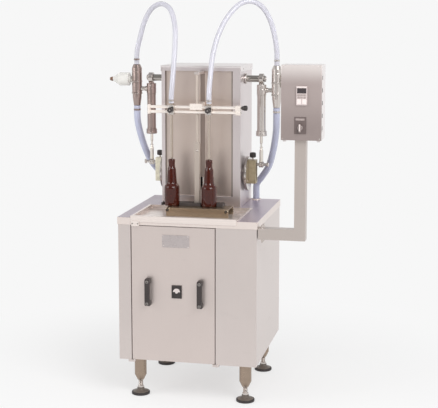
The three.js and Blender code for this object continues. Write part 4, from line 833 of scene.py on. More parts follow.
UPPER_ROUTE = {
    "left": (
        (-346, 462, 1538.6), (-346, 462, 1573), (-343, 461, 1605), (-328, 455, 1660),
        (-299, 441, 1745), (-256, 416, 1806), (-200, 380, 1829), (-146, 340, 1806),
        (-115, 305, 1740), (-104, 275, 1660), (-104, 242, 1540), (-107, 224, 1450),
        (-109.5, 219, 1408), (-109.5, 219, 1370.9),
    ),
    "right": (
        (346, 462, 1538.6), (346, 462, 1572), (345, 461, 1608), (338, 457, 1662),
        (316, 447, 1750), (279, 426, 1815), (236, 403, 1840), (190, 377, 1831),
        (135, 340, 1772), (97, 305, 1688), (77, 270, 1594), (71, 240, 1490),
        (70, 224, 1440), (69.5, 219, 1406), (69.5, 219, 1370.9),
    ),
}
LOWER_ROUTE = (
    (346, 462, 1336.4), (346, 462, 1314), (346, 462, 1288), (345, 467, 1257), (341, 480, 1216),
    (322, 512, 1122), (295, 548, 1044), (256, 587, 986), (225, 609, 944), (222, 612, 918),
    (222, 612, 894), (222, 612, 871.6),
)


# Points in each curved span of a hose's route, and the spans of an upper hose's first and last stretch
PER_SPAN = 8
END_SPANS = 5


def smooth_route(points):
    """A route through all its points, one curved span between each two."""
    points = [Vector(point) for point in points]
    points = [points[0] * 2 - points[1]] + points + [points[-1] * 2 - points[-2]]
    route = []
    for before, start, end, after in zip(points, points[1:], points[2:], points[3:]):
        knots = [0.0]
        for one, other in ((before, start), (start, end), (end, after)):
            knots.append(knots[-1] + (other - one).length ** 0.5)
        for step in range(PER_SPAN):
            at = knots[1] + (knots[2] - knots[1]) * step / PER_SPAN
            row = [before, start, end, after]
            for depth in (1, 2, 3):
                row = [
                    blend_between(row, knots, index, depth, at)
                    for index in range(len(row) - 1)
                ]
            route.append(row[0])
    route.append(points[-2])
    return route


def blend_between(row, knots, index, depth, at):
    """One step of the three in which a centripetal curve is worked out."""
    if depth == 1:
        low, high = knots[index], knots[index + 1]
    elif depth == 2:
        low, high = knots[index], knots[index + 2]
    else:
        low, high = knots[1], knots[2]
    share = (at - low) / (high - low)
    return row[index] * (1 - share) + row[index + 1] * share


def hose_mesh(name, route, radius, bore, skin, sides=28):
    """A tube with a wall, its rings square to the route and carried along it without twist."""
    mesh = bmesh.new()
    along = (route[1] - route[0]).normalized()
    across = along.orthogonal().normalized()
    rings = []
    for index, point in enumerate(route):
        before = route[max(index - 1, 0)]
        after = route[min(index + 1, len(route) - 1)]
        heading = (after - before).normalized()
        across = along.rotation_difference(heading) @ across
        across = (across - heading * across.dot(heading)).normalized()
        along = heading
        upright = along.cross(across)
        pair = []
        for reach in (radius, bore):
            pair.append([
                mesh.verts.new(point + (
                    across * math.cos(math.tau * turn / sides) + upright * math.sin(math.tau * turn / sides)
                ) * reach * MM)
                for turn in range(sides)
            ])
        rings.append(pair)
    for turn in range(sides):
        beside = (turn + 1) % sides
        for (outer, inner), (next_outer, next_inner) in zip(rings, rings[1:]):
            mesh.faces.new((outer[turn], outer[beside], next_outer[beside], next_outer[turn]))
            mesh.faces.new((inner[turn], next_inner[turn], next_inner[beside], inner[beside]))
        for outer, inner in (rings[0], rings[-1]):
            mesh.faces.new((outer[turn], inner[turn], inner[beside], outer[beside]))
    bmesh.ops.recalc_face_normals(mesh, faces=mesh.faces)
    for face in mesh.faces:
        face.smooth = True
    for line in mesh.edges:
        line.smooth = line.calc_face_angle(0) < 0.7
    data = bpy.data.meshes.new(name)
    mesh.to_mesh(data)
    mesh.free()
    data.materials.append(MATERIALS[skin])
    made = bpy.data.objects.new(name, data)
    bpy.context.scene.collection.objects.link(made)
    return made


def hose_piece(name, route, bodies, radius, bore, skin, slot, node):
    """One stretch of a hose, a fixed tube along its route that stands for its frame part; the two bodies
    that it joins are not used.
    """
    made = hose_mesh(name, route, radius, bore, skin)
    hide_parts(node)
    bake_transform(made)


# Operators, one for each piece or group of like pieces


class FILLER_OT_camera(bpy.types.Operator):
    """Stand the camera where the photograph was taken, a little above the head and to its right"""

    bl_idname = "filler.camera"
    bl_label = "Camera"

    def execute(self, context):
        data = bpy.data.cameras.new("front_camera")
        data.lens = CAMERA_LENS
        data.sensor_width = 36.0
        data.shift_y = CAMERA_SHIFT
        data.clip_end = 200.0
        camera = bpy.data.objects.new("front_camera", data)
        camera.location = to_metres(CAMERA_PLACE, 0.0)
        camera.rotation_euler = (math.radians(90 - CAMERA_TILT), 0.0, math.radians(CAMERA_TURN))
        context.scene.collection.objects.link(camera)
        context.scene.camera = camera
        return {"FINISHED"}


class FILLER_OT_hoses(bpy.types.Operator):
    """Run the two upper and the two lower hoses"""

    bl_idname = "filler.hoses"
    bl_label = "Hoses"

    def execute(self, context):
        sizes = context.scene.filler_sizes
        upper = (sizes.discharge / MM, sizes.discharge_bore / MM)
        lower = (sizes.supply / MM, sizes.supply_bore / MM)
        for side, sign in SIDES:
            points = UPPER_ROUTE[side]
            route = [to_metres(point) for point in smooth_route(points)]
            first = END_SPANS * PER_SPAN
            second = (len(points) - END_SPANS) * PER_SPAN
            node = f"discharge_hose_{side}"
            stretches = (
                ("rise", route[:first + 1], (f"unit_{side}", "base")),
                ("arch", route[first:second + 1], ("base", "carriage")),
                ("drop", route[second:], ("carriage", f"nozzle_{side}")),
            )
            for name, part, bodies in stretches:
                hose_piece(f"{node}_{name}", part, bodies, *upper, "milky", "milky_hose", node)
            points = [(sign * x, y, z) for x, y, z in LOWER_ROUTE]
            route = [to_metres(point) for point in smooth_route(points)]
            node = f"supply_hose_{side}"
            bodies = (f"unit_{side}", "base")
            hose_piece(f"{node}_run", route, bodies, *lower, "bluish", "bluish_hose", node)
        return {"FINISHED"}


class FILLER_OT_cabinet(bpy.types.Operator):
    """Make the cabinet, its frame and legs"""

    bl_idname = "filler.cabinet"
    bl_label = "Cabinet"

    def execute(self, context):
        edge = context.scene.filler_sizes.edge / MM
        eased_copy("cabinet_sheet", "sheet", "cabinet_shell", edge, "base")
        base = Piece("frame_and_legs", "sheet", "leg")
        base.copied("base_frame", edge)
        for y in LEG_Y.values():
            for sign in (-1, 1):
                base.turned([
                    (0, 67.8), (12.5, 67.8), (14.8, 68.0), (28.15, 95.4), (28.15, 200.0),
                ], (sign * LEG_X, y, 0), "Z", 1.5, 56, 1)
        base.place("base", "stainless_sheet", "base_frame")
        return {"FINISHED"}


class FILLER_OT_feet(bpy.types.Operator):
    """Turn the four levelling feet: rubber pads on threaded spindles"""

    bl_idname = "filler.feet"
    bl_label = "Levelling feet"

    def execute(self, context):
        for depth, y in LEG_Y.items():
            for side, sign in SIDES:
                centre = (sign * LEG_X, y, 0)
                foot = Piece(f"foot_{depth}_{side}", "rubber", "turned", "cap")
                foot.turned([
                    (0, 0.2), (41.5, 0.2), (42.9, 1.4), (42.9, 10.2), (41, 12), (24, 12), (0, 12),
                ], centre, "Z", 0.9, 56)
                foot.turned([
                    (0, 12.1), (38, 12.1), (36.5, 14), (25, 17), (18.6, 21.8), (17, 23), (17, 30.2),
                    (15.5, 31), (0, 31),
                ], centre, "Z", 0.9, 56, 2)
                foot.turned(ring_profile(10.8, 15.2, 31.2, 40), centre, "Z", 0.8, 6, 1)
                thread = [(0, 31)]
                for turn in range(19):
                    thread += [(10.9, 40.6 + 2 * turn), (10.0, 41.6 + 2 * turn)]
                thread += [(10.9, 80), (10.9, 149.5), (0, 149.5)]
                foot.turned(thread, centre, "Z", 0.0, 32, 1)
                foot.place(f"foot_{depth}_{side}", "black_rubber", f"levelling_foot_{depth}_{side}")
        return {"FINISHED"}


class FILLER_OT_front_panel(bpy.types.Operator):
    """Make the tilting front panel with its handles, latch and bare plate"""

    bl_idname = "filler.front_panel"
    bl_label = "Front panel"

    def execute(self, context):
        edge = context.scene.filler_sizes.edge / MM
        eased_copy("front_sheet", "panel", "front_panel", edge, "front_panel")
        face = near("front_panel")
        for side, x in (("left", -178.0), ("right", 66.0)):
            low, high = x - 12.0, x + 12.0
            handle = Piece(f"handle_{side}", "plastic", "iron")
            handle.prism([
                (face - 0.3, 462), (-25, 462), (-31, 465), (-34, 471), (-34, 579), (-31, 585), (-25, 588),
                (face - 0.3, 588), (face - 0.3, 566), (-14, 566), (-20, 560), (-20, 490), (-14, 484),
                (face - 0.3, 484),
            ], low, high, 3.2)
            for step in range(10):
                z = 525 + (step - 4.5) * 8.0
                handle.box((low + 4, -35.2, z - 2.0), (high - 4, -33.0, z + 2.0), 0.8)
            for z in (474.0, 576.0):
                handle.turned([(0, 0.4), (3, 0.4), (3, -1.4), (6.4, -1.4), (7.4, -0.4), (7.4, 2)],
                              (x, -33.4, z), "Y", 0.4, 28, 1)
            handle.place("front_panel", "black_plastic", f"panel_handle_{side}")
        eased_copy("latch_frame", "plastic", "latch_plate", 0.7, "front_panel", "black_plastic")
        eased_copy("latch_grip", "keys", "latch_paddle", 0.6, "latch", "bright_bar")
        plate = Piece("bare_plate", "plate", "turned_y")
        plate.copied("label_plate", 0.25)
        for x in (-108.0, 7.0):
            for z in (738.5, 785.5):
                plate.turned([(0, -1.0), (1.0, -0.9), (1.8, -0.2), (1.8, 0.4)], (x, 1.2, z), "Y", 0, 20, 1)
        plate.place("front_panel", "label_metal", "label_plate")
        return {"FINISHED"}


class FILLER_OT_table(bpy.types.Operator):
    """Make the table top, the sunken tray and the stand for the bottles"""

    bl_idname = "filler.table"
    bl_label = "Table and tray"

    def execute(self, context):
        edge = context.scene.filler_sizes.edge / MM
        eased_copy("table_sheet", "table", "table_top", 1.4, "base")
        tray = Piece("sunken_tray", "tray", "plastic")
        tray.copied("drip_tray", edge)
        for x in (-251.5, -226.0):
            tray.screw((x, -6.4, 838.5), "Y", 2.6, 1, -1.2)
        tray.place("base", "stainless_sheet", "drip_tray")
        eased_copy("stand_sheet", "stand", "bottle_stand", edge, "base")
        knobs = Piece("stand_knobs", "plastic", "turned_y", x=HEAD_X)
        for x in (-111.0, 167.0):
            spot = (x, STAND_KNOB_Y, STAND_KNOB_Z)
            knobs.turned([(0, 0), (8.2, 0), (9.2, 1.4), (9.2, 9), (6, 10.5), (6, 13.8)],
                         spot, "Y", 0.5, 40, 0, 10, 0.7)
            knobs.turned([(0, -0.3), (2.6, -0.3), (2.6, 0.5)], spot, "Y", 0.0, 20, 1)
        knobs.place("base", "black_plastic")
        eased_copy("locator_bar", "plastic", "bottle_locator", 0.8, "locator", "black_plastic")
        return {"FINISHED"}


class FILLER_OT_bottles(bpy.types.Operator):
    """Blow the two long-necked amber bottles"""

    bl_idname = "filler.bottles"
    bl_label = "Bottles"

    def execute(self, context):
        foot = level("bottle_left", False)
        tall = level("bottle_left") - foot
        radius = width("bottle_left") / 2
        outside = (
            (0.0, 0.018), (0.72, 0.012), (0.86, 0.0), (0.94, 0.004), (1.0, 0.028), (1.0, 0.378),
            (0.985, 0.402), (0.95, 0.422), (0.88, 0.442), (0.79, 0.46), (0.72, 0.478), (0.675, 0.502),
            (0.645, 0.55), (0.61, 0.63), (0.575, 0.715), (0.545, 0.785), (0.51, 0.81), (0.455, 0.83),
            (0.43, 0.85), (0.425, 0.882), (0.425, 0.925), (0.45, 0.932), (0.45, 0.985), (0.43, 1.0),
            (0.36, 1.0), (0.345, 0.99),
        )
        inside = (
            (0.345, 0.83), (0.44, 0.79), (0.49, 0.715), (0.53, 0.62), (0.57, 0.54), (0.62, 0.488),
            (0.72, 0.458), (0.85, 0.425), (0.9, 0.378), (0.9, 0.05), (0.8, 0.03), (0.0, 0.04),
        )
        profile = [(share * radius, foot + height * tall) for share, height in outside + inside]
        for side, x in NOZZLE_X.items():
            bottle = Piece(f"amber_bottle_{side}", "glass", x=HEAD_X)
            bottle.turned(profile, (x, NOZZLE_Y, 0), "Z", 0.5, 72)
            bottle.place("base", "amber_glass", f"bottle_{side}", crease=50)
        return {"FINISHED"}


class FILLER_OT_housing(bpy.types.Operator):
    """Make the head's housing, lid and rear cover"""

    bl_idname = "filler.housing"
    bl_label = "Housing"

    def execute(self, context):
        edge = context.scene.filler_sizes.edge / MM
        eased_copy("housing_sheet", "recess", "housing_shell", edge, "base")
        lid = Piece("lid_sheet", "lid", "turned_y", x=HEAD_X)
        lid.copied("housing_lid", 1.2)
        for sign in (-1, 1):
            for y in (400.0, 586.0):
                lid.screw((sign * 195.3, y, 1524.0), "X", 3.6, 1, sign * 1.5)
        lid.place("base", "stainless_sheet", "housing_lid")
        cover = Piece("rear_sheet", "sheet", "turned_y", x=HEAD_X)
        cover.copied("rear_cover", 0.7)
        back = far("rear_cover")
        for sign in (-1, 1):
            for z in (890.0, 1190.0, 1480.0):
                cover.screw((sign * 178.0, back, z), "Y", 4.0, 1, 1.6)
        cover.place("base", "stainless_sheet", "rear_cover")
        return {"FINISHED"}


class FILLER_OT_guide(bpy.types.Operator):
    """Make the guide rod in front of the housing and its post"""

    bl_idname = "filler.guide"
    bl_label = "Guide rod"

    def execute(self, context):
        guide = Piece("guide_rod", "post", "turned", "sheet", x=HEAD_X + GUIDE_X)
        guide.box((-13, 239.5, 850.3), (13, 261, 1184), 1.4, 0)
        at = (0, GUIDE_Y, 0)
        guide.turned([(0, 1180), (7, 1180), (7, 1514.2), (5.4, 1515), (0, 1515)], at, "Z", 0.4, 40, 0)
        guide.turned([(7, 1184), (10.4, 1184), (10.4, 1185.6), (9.6, 1186.4), (7, 1186.4)],
                     at, "Z", 0.3, 40, 1)
        guide.box((-12, 238, 1503), (12, 346.2, 1515), 1.0, 2)
        for y in (270, 322):
            guide.screw((0, y, 1515), "Z", 4.4, 1, 2.2)
        guide.screw((0, 239, 1150), "Y", 4.4, 1, -2.2)
        guide.place("base", "bright_bar", "guide_post")
        return {"FINISHED"}


class FILLER_OT_carriage(bpy.types.Operator):
    """Make the lifting arm with the twin rails and their knob"""

    bl_idname = "filler.carriage"
    bl_label = "Carriage"

    def execute(self, context):
        block = context.scene.filler_sizes.block_edge / MM
        eased_copy("lifting_arm", "pad", "carriage_arm", block, "carriage", "stainless_turned")
        # A sheet behind the slot, coloured in painted shade, so that the slot shows dark.
        shutter_in_painted_shade = Piece("slot_shutter", "shutter_in_painted_shade", x=HEAD_X + GUIDE_X)
        shutter_in_painted_shade.box((-16, 366, 1006), (16, 367.5, 1514), 0.3)
        shutter_in_painted_shade.place("carriage", "stainless_sheet")
        rails = Piece("twin_rails", "rail", "pad", "turned_x", x=HEAD_X)
        block_start = RAIL_END - 24
        for z in (RAIL_UPPER, RAIL_LOWER):
            rails.turned(bar_profile(7, -225, RAIL_END - 4), (0, RAIL_Y, z), "X", 0.4, 40, 0)
        low, high = level("nozzle_bar", False), level("nozzle_bar")
        rails.box((-226, 225, low), (-216, 247, high), 1.4, 1)
        rails.box((block_start, 225, low), (RAIL_END, 247, high), 1.6, 1)
        for z in (RAIL_UPPER, RAIL_LOWER):
            rails.turned([(0, -2.4), (4.6, -2.4), (5.6, -1.4), (5.6, 1)], (-226, RAIL_Y, z), "X", 0.3, 28, 2)
            rails.screw((block_start + 12, 225, z), "Y", 3.6, 1, -1.8)
        rails.turned([(5.6, -1), (5.6, 1.4), (4.6, 2.4), (0, 2.4)],
                     (RAIL_END, RAIL_Y, RAIL_LOWER), "X", 0.3, 28, 2)
        rails.place("carriage", "bright_bar", "nozzle_bar")
        knob = Piece("rail_end_knob", "plastic", "bar_x", x=HEAD_X)
        spot = (RAIL_END, RAIL_Y, RAIL_UPPER)
        knob.turned([
            (5, 2), (5.2, 4), (7.4, 5.6), (12, 18), (12, 27), (10, 30.4), (5, 32), (0, 32),
        ], spot, "X", 0.9, 48, 0, 12, 0.8)
        knob.turned([(0, 0.2), (5, 0.2), (5, 3)], spot, "X", 0.0, 28, 1)
        knob.place("rail_knob", "black_plastic", "rail_knob")
        return {"FINISHED"}


class FILLER_OT_nozzles(bpy.types.Operator):
    """Make the two nozzles with their clamps and knobs"""

    bl_idname = "filler.nozzles"
    bl_label = "Nozzles"

    def execute(self, context):
        block = context.scene.filler_sizes.block_edge / MM
        middle = (RAIL_UPPER + RAIL_LOWER) / 2
        for side, x in NOZZLE_X.items():
            clamp = Piece(f"rail_clamp_{side}", "turned", "turned_x")
            clamp.copied(f"nozzle_clamp_{side}", block)
            for shift in (-9.4, 9.4):
                clamp.screw((x + HEAD_X + shift, 208, 1324.5), "Y", 2.6, 1, -1.4)
            clamp.place(f"nozzle_{side}", "stainless_turned", f"nozzle_clamp_{side}")
            foot, top = level(f"nozzle_{side}", False), level(f"nozzle_{side}")
            nozzle = Piece(f"filling_nozzle_{side}", "tube", "turned", x=HEAD_X)
            nozzle.turned([
                (3.6, foot + 1), (5.2, foot), (6.4, foot + 5), (7, foot + 9), (7, 1236), (7.45, 1238),
                (7.45, 1318), (7.45, 1362), (12.4, 1363.4), (12.4, 1370.2), (8.4, 1371), (6.6, 1374),
                (7.6, 1380), (6.6, 1380.5), (7.6, 1387), (6.6, 1387.5), (7.6, 1394), (6.2, top),
                (4.5, top), (4.5, 1385), (4.5, foot + 9), (3.6, foot + 1),
            ], (x, NOZZLE_Y, 0), "Z", 0.35, 40)
            nozzle.clip((x, NOZZLE_Y, 1384), 12.4, 1, 8.0)
            nozzle.place(f"nozzle_{side}", "bright_bar", f"nozzle_{side}")
            knob = Piece(f"clamp_knob_{side}", "plastic", "turned_y", x=HEAD_X)
            knob.turned([
                (0, 0.8), (4, 0.8), (6, 0), (11.4, 0), (13, 1.6), (13, 12.5), (9.6, 15.4), (5, 16.4),
                (5, 19),
            ], (x, 183.7, middle), "Y", 0.6, 48, 0, 8, 1.3)
            knob.turned([(0, 0), (4.4, 0), (4.4, 5.4)], (x, 202.4, middle), "Y", 0.0, 28, 1)
            knob.turned([(0, 0.2), (2.6, 0.2), (2.6, 1)], (x, 183.9, middle), "Y", 0.0, 20, 1)
            knob.place(f"nozzle_knob_{side}", "black_plastic", f"nozzle_knob_{side}")
        return {"FINISHED"}


class FILLER_OT_drive(bpy.types.Operator):
    """Turn the shafts and crank discs, and dress the drive inside the housing"""

    bl_idname = "filler.drive"
    bl_label = "Drive"

    def execute(self, context):
        block = context.scene.filler_sizes.block_edge / MM
        shaft = Piece("pivot_shaft", "shaft", "turned_x", x=HEAD_X)
        at = (0, PIVOT_Y, SHAFT_Z)
        shaft.turned(bar_profile(16, -260.6, 260.6), at, "X", 1.2, 48)
        stud = [(8, 260), (8, 284), (7.4, 286), (7.4, 295.2), (6, 296), (0, 296)]
        washer = ring_profile(8, 12.4, 284.6, 286.2)
        nut = ring_profile(7.6, 13.9, 286.4, 294.4)
        collar = [(16, 193.6), (25, 193.6), (25, 201), (20, 204), (16, 204)]
        for sign in (-1, 1):
            shaft.turned(to_side(sign, stud), at, "X", 0.4, 36, 1)
            shaft.turned(to_side(sign, washer), at, "X", 0.2, 36, 1)
            shaft.turned(to_side(sign, nut), at, "X", 0.9, 6, 1)
            shaft.turned(to_side(sign, collar), at, "X", 0.9, 48, 1)
        shaft.place("base", "bright_bar", "support_shaft")
        crank = Piece("crank_discs", "iron", "turned_x", x=HEAD_X)
        crank.copied("crankshaft", 0.6)
        at = (0, PIVOT_Y, CRANK_Z)
        inner, outer = 200.95, 213.05
        disc = [
            (0, inner), (80.5, inner), (83.1, inner + 2.4), (83.1, outer - 1.6), (81.5, outer),
            (60, outer), (59, outer - 0.9), (58, outer), (0, outer),
        ]
        for sign in (-1, 1):
            crank.turned(to_side(sign, disc), at, "X", 0.5, 96, 1)
            for turn in range(4):
                angle = math.radians(45 + 90 * turn)
                spot = (sign * outer, PIVOT_Y + 46 * math.cos(angle), CRANK_Z + 46 * math.sin(angle))
                crank.screw(spot, "X", 4.6, 1, sign * 1.4)
        crank.place("crank", "stainless_turned", "crankshaft")
        flange = [(15.4, 192.4), (43.6, 192.4), (45.1, 193.4), (45.1, 199.2), (43.6, 200.3), (15.4, 200.3)]
        for side, sign in SIDES:
            bearing = Piece(f"flange_bearing_{side}", "turned_x", x=HEAD_X)
            bearing.turned(to_side(sign, flange), at, "X", 0.4, 64)
            bearing.place("base", "stainless_turned", f"crank_bearing_{side}")
            eased_copy(
                f"stroke_bar_{side}", BLOCK_SKIN[side], f"stroke_block_{side}", block, "crank", "bronze",
            )
            screw = Piece(f"stroke_knob_{side}", "plastic", "turned", x=HEAD_X)
            spot = (sign * 231.65, PIVOT_Y, 0)
            screw.turned([
                (4.8, 1094.2), (9, 1094.2), (13.4, 1096.4), (15, 1099), (15, 1114), (12.6, 1118.6),
                (6, 1120), (0, 1120),
            ], spot, "Z", 0.8, 60, 0, 10, 1.0)
            low = level(f"stroke_screw_{side}", False)
            screw.turned([(0, low + 0.4), (4.9, low + 0.4), (4.9, 1095)], spot, "Z", 0.4, 28, 1)
            screw.place(f"screw_{side}", "black_plastic", f"stroke_screw_{side}")
        for inner_piece in (
            ("lift_ram", "turned", "lift_cylinder", 0.7, "base", "stainless_turned", HEAD_X),
            ("lower_sprocket", "iron", "drive_sprocket", 0.3, "drive", "stainless_turned", HEAD_X),
            ("roller_chain", "iron", "drive_chain", 0.3, "base", "stainless_turned", HEAD_X),
            ("gear_motor_casting", "paint", "gear_motor", 1.0, "base", "painted_iron", HEAD_X),
        ):
            eased_copy(*inner_piece)
        return {"FINISHED"}


class FILLER_OT_metering(bpy.types.Operator):
    """Make the hanging measuring cylinders with their rods, valves and surge chambers"""

    bl_idname = "filler.metering"
    bl_label = "Measuring units"

    def execute(self, context):
        for side, sign in SIDES:
            body = f"unit_{side}"
            self.cylinder(side, sign, body)
            self.rod(side, sign)
            self.valve(side, sign, body)
            self.chamber(side, sign, body)
        return {"FINISHED"}

    def cylinder(self, side, sign, body):
        piece = Piece(f"measuring_cylinder_{side}", UNIT_SKIN[side], "turned_x", "turned_y", x=HEAD_X)
        x, y, top = sign * UNIT_X, PIVOT_Y, SHAFT_Z
        at = (x, y, 0)
        piece.turned([
            (16.2, -11), (23.8, -11), (25, -10), (25, 10), (23.8, 11), (16.2, 11),
        ], (x, y, top), "X", 0.5, 48, 1)
        piece.turned([
            (0, top - 22), (13, top - 22), (13, top - 27.5), (21.5, top - 27.5), (23, top - 29),
            (23, top - 46), (22, top - 47), (22, top - 49), (23, top - 50), (23, top - 75.5),
            (21.8, top - 76.5), (21, top - 76.5), (21, top - 249), (21.2, top - 250.5),
            (24.4, top - 250.5), (26, top - 252), (26, top - 258), (25.2, top - 259), (25.2, top - 261),
            (26, top - 262), (26, top - 272.6), (24.4, top - 274), (8.4, top - 274), (8.4, top - 262),
            (0, top - 262),
        ], at, "Z", 0.6, 64)
        for height in (-81.0, -246.0):
            piece.turned([(20.6, top + height - 3), (21.9, top + height - 2.4), (21.9, top + height + 2.4),
                          (20.6, top + height + 3)], at, "Z", 0.4, 64)
        port = [
            (0, 18), (13, 18), (13, 22), (11.8, 23), (11.8, 24), (13, 25), (13, 26.6), (10.8, 26.9),
            (0, 26.9),
        ]
        piece.turned(to_side(sign, port), (x, y, top - 54.5), "X", 0.4, 40, 1)
        piece.screw((x, y - 23, top - 38), "Y", 3.6, 2, -2.0)
        piece.screw((x, y - 26, top - 266.6), "Y", 3.2, 2, -1.8)
        piece.place(body, "stainless_turned", f"cylinder_{side}")

    def rod(self, side, sign):
        piece = Piece(f"cylinder_rod_{side}", "bar", "turned_x", x=HEAD_X)
        x, y, top = sign * UNIT_X, PIVOT_Y, SHAFT_Z
        high = level(f"piston_rod_{side}")
        piece.turned([
            (0, PIN_Z + 10), (9, PIN_Z + 13), (9, top - 345), (8, top - 342), (5.4, top - 337),
            (4.5, top - 333), (4.5, top - 312), (7, top - 309), (7, high - 0.4), (0, high - 0.4),
        ], (x, y, 0), "Z", 0.5, 40)
        piece.turned(ring_profile(4.6, 7.8, top - 333, top - 327), (x, y, 0), "Z", 0.6, 6)
        piece.turned([
            (0, -10), (13.8, -10), (15, -9), (15, -3), (14, -2),
            (14, 2), (15, 3), (15, 9), (13.8, 10), (0, 10),
        ], (x, y, PIN_Z), "X", 0.4, 48, 1)
        at = (0, y, PIN_Z)
        pin = bar_profile(6.9, 250.7, 300.4)
        head = [(0, 300), (9.4, 300), (11, 301.4), (11, 307.4), (9.6, 309), (0, 309)]
        piece.turned(to_side(sign, pin), at, "X", 0.5, 36, 1)
        piece.turned(to_side(sign, head), at, "X", 0.7, 48, 1, 14, 0.6)
        piece.place(f"rod_{side}", "bright_bar", f"piston_rod_{side}")

    def valve(self, side, sign, body):
        piece = Piece(f"valve_body_{side}", UNIT_SKIN[side], "turned_x", x=HEAD_X)
        x, y = sign * VALVE_X, PIVOT_Y
        low, high = level(f"check_valve_{side}", False), level(f"check_valve_{side}")
        profile = [(6, low), (8.6, low + 0.2)]
        for ridge in range(3):
            top = low + 9 + 8.0 * ridge
            profile += [(10.6, top - 0.6), (10.6, top), (9.4, top + 0.4)]
        profile += [
            (9.6, 1336), (13.4, 1337), (17, 1338.2), (17, 1342), (21.4, 1374), (22, 1377), (22, 1396),
            (21, 1397.4), (21, 1399), (23.6, 1399), (24.5, 1400), (24.5, 1409), (23.7, 1410), (23.7, 1412),
            (24.5, 1413), (24.5, 1452.4), (22, 1453.6), (22, 1456.4), (24.5, 1457.6), (24.5, 1500),
            (23.7, 1501), (23.7, 1503), (24.5, 1504), (24.5, 1520.6), (23.4, 1522), (17.2, 1537), (16, 1538),
            (6.6, 1538.4), (6.4, 1541),
        ]
        for ridge in range(3):
            top = 1549 + 8.0 * ridge
            profile += [(7.6, top - 0.6), (7.6, top), (6.7, top + 0.4)]
        profile += [(6.2, high), (4.6, high), (4.6, low + 0.4), (6, low)]
        piece.turned(profile, (x, y, 0), "Z", 0.35, 64)
        link = [(0, 300.3), (12.6, 300.3), (12.6, 302.7), (10.5, 304.7), (10.5, 325), (0, 325)]
        seat = [(0, 366), (15, 366), (15, 373.6), (14.4, 375.4), (0, 375.4)]
        piece.turned(to_side(sign, link), (0, y, VALVE_PORT_Z), "X", 0.4, 40, 1)
        piece.turned(to_side(sign, seat), (0, y, CHAMBER_Z), "X", 0.4, 48, 1)
        reach = 24.9
        for height in (1455.0, 1398.0):
            piece.turned([
                (reach - 2.2, height - 5), (reach, height - 5), (reach + 0.9, height - 4),
                (reach + 0.9, height + 4), (reach, height + 5), (reach - 2.2, height + 5),
            ], (x, y, 0), "Z", 0.4, 64)
            front = y - reach
            piece.box((x - 7.5, front - 7.5, height - 4.4), (x - 1.6, front + 2.4, height + 4.4), 0.8)
            piece.box((x + 1.6, front - 7.5, height - 4.4), (x + 7.5, front + 2.4, height + 4.4), 0.8)
            bolt = (x, front - 4.4, height)
            piece.turned(bar_profile(2.4, -10, 15), bolt, "X", 0.3, 20, 1)
            piece.turned(bar_profile(4.4, -15, -10.4), bolt, "X", 0.5, 6, 1)
        piece.clip((x, y, 1562), 12.4, 0, 8.0)
        piece.clip((x, y, 1317), 16.5, 0, 9.0)
        piece.place(body, "stainless_turned", f"check_valve_{side}")

    def chamber(self, side, sign, body):
        piece = Piece(f"clear_chamber_{side}", "clear", "tip", x=HEAD_X)
        outside = [
            (9.0, 0.2), (15.8, 0.2), (17, 1.4), (17, 6.4), (19, 7.2), (30.8, 7.2), (32.4, 9), (32.4, 20),
            (31.8, 21), (31.8, 23), (32.4, 24), (32.4, 54), (31.4, 58), (28.4, 62), (11.8, 88), (9.6, 91),
            (0, 91.4),
        ]
        inside = [(0, 80.4), (11.4, 80), (26.4, 60), (29.4, 54), (29.4, 11), (14, 10.2), (14, 1.4), (9, 0.2)]
        tip = [
            (0, 91.5), (9.6, 91.5), (10.6, 93), (10.6, 99), (8.6, 101), (7.9, 105), (6.8, 106.8), (0, 106.8),
        ]
        at = (sign * CHAMBER_START, PIVOT_Y, CHAMBER_Z)
        piece.turned(to_side(sign, outside + inside), at, "X", 0.6, 72)
        piece.turned(to_side(sign, tip), at, "X", 0.4, 40, 1)
        piece.place(body, "clear_plastic", f"surge_chamber_{side}")


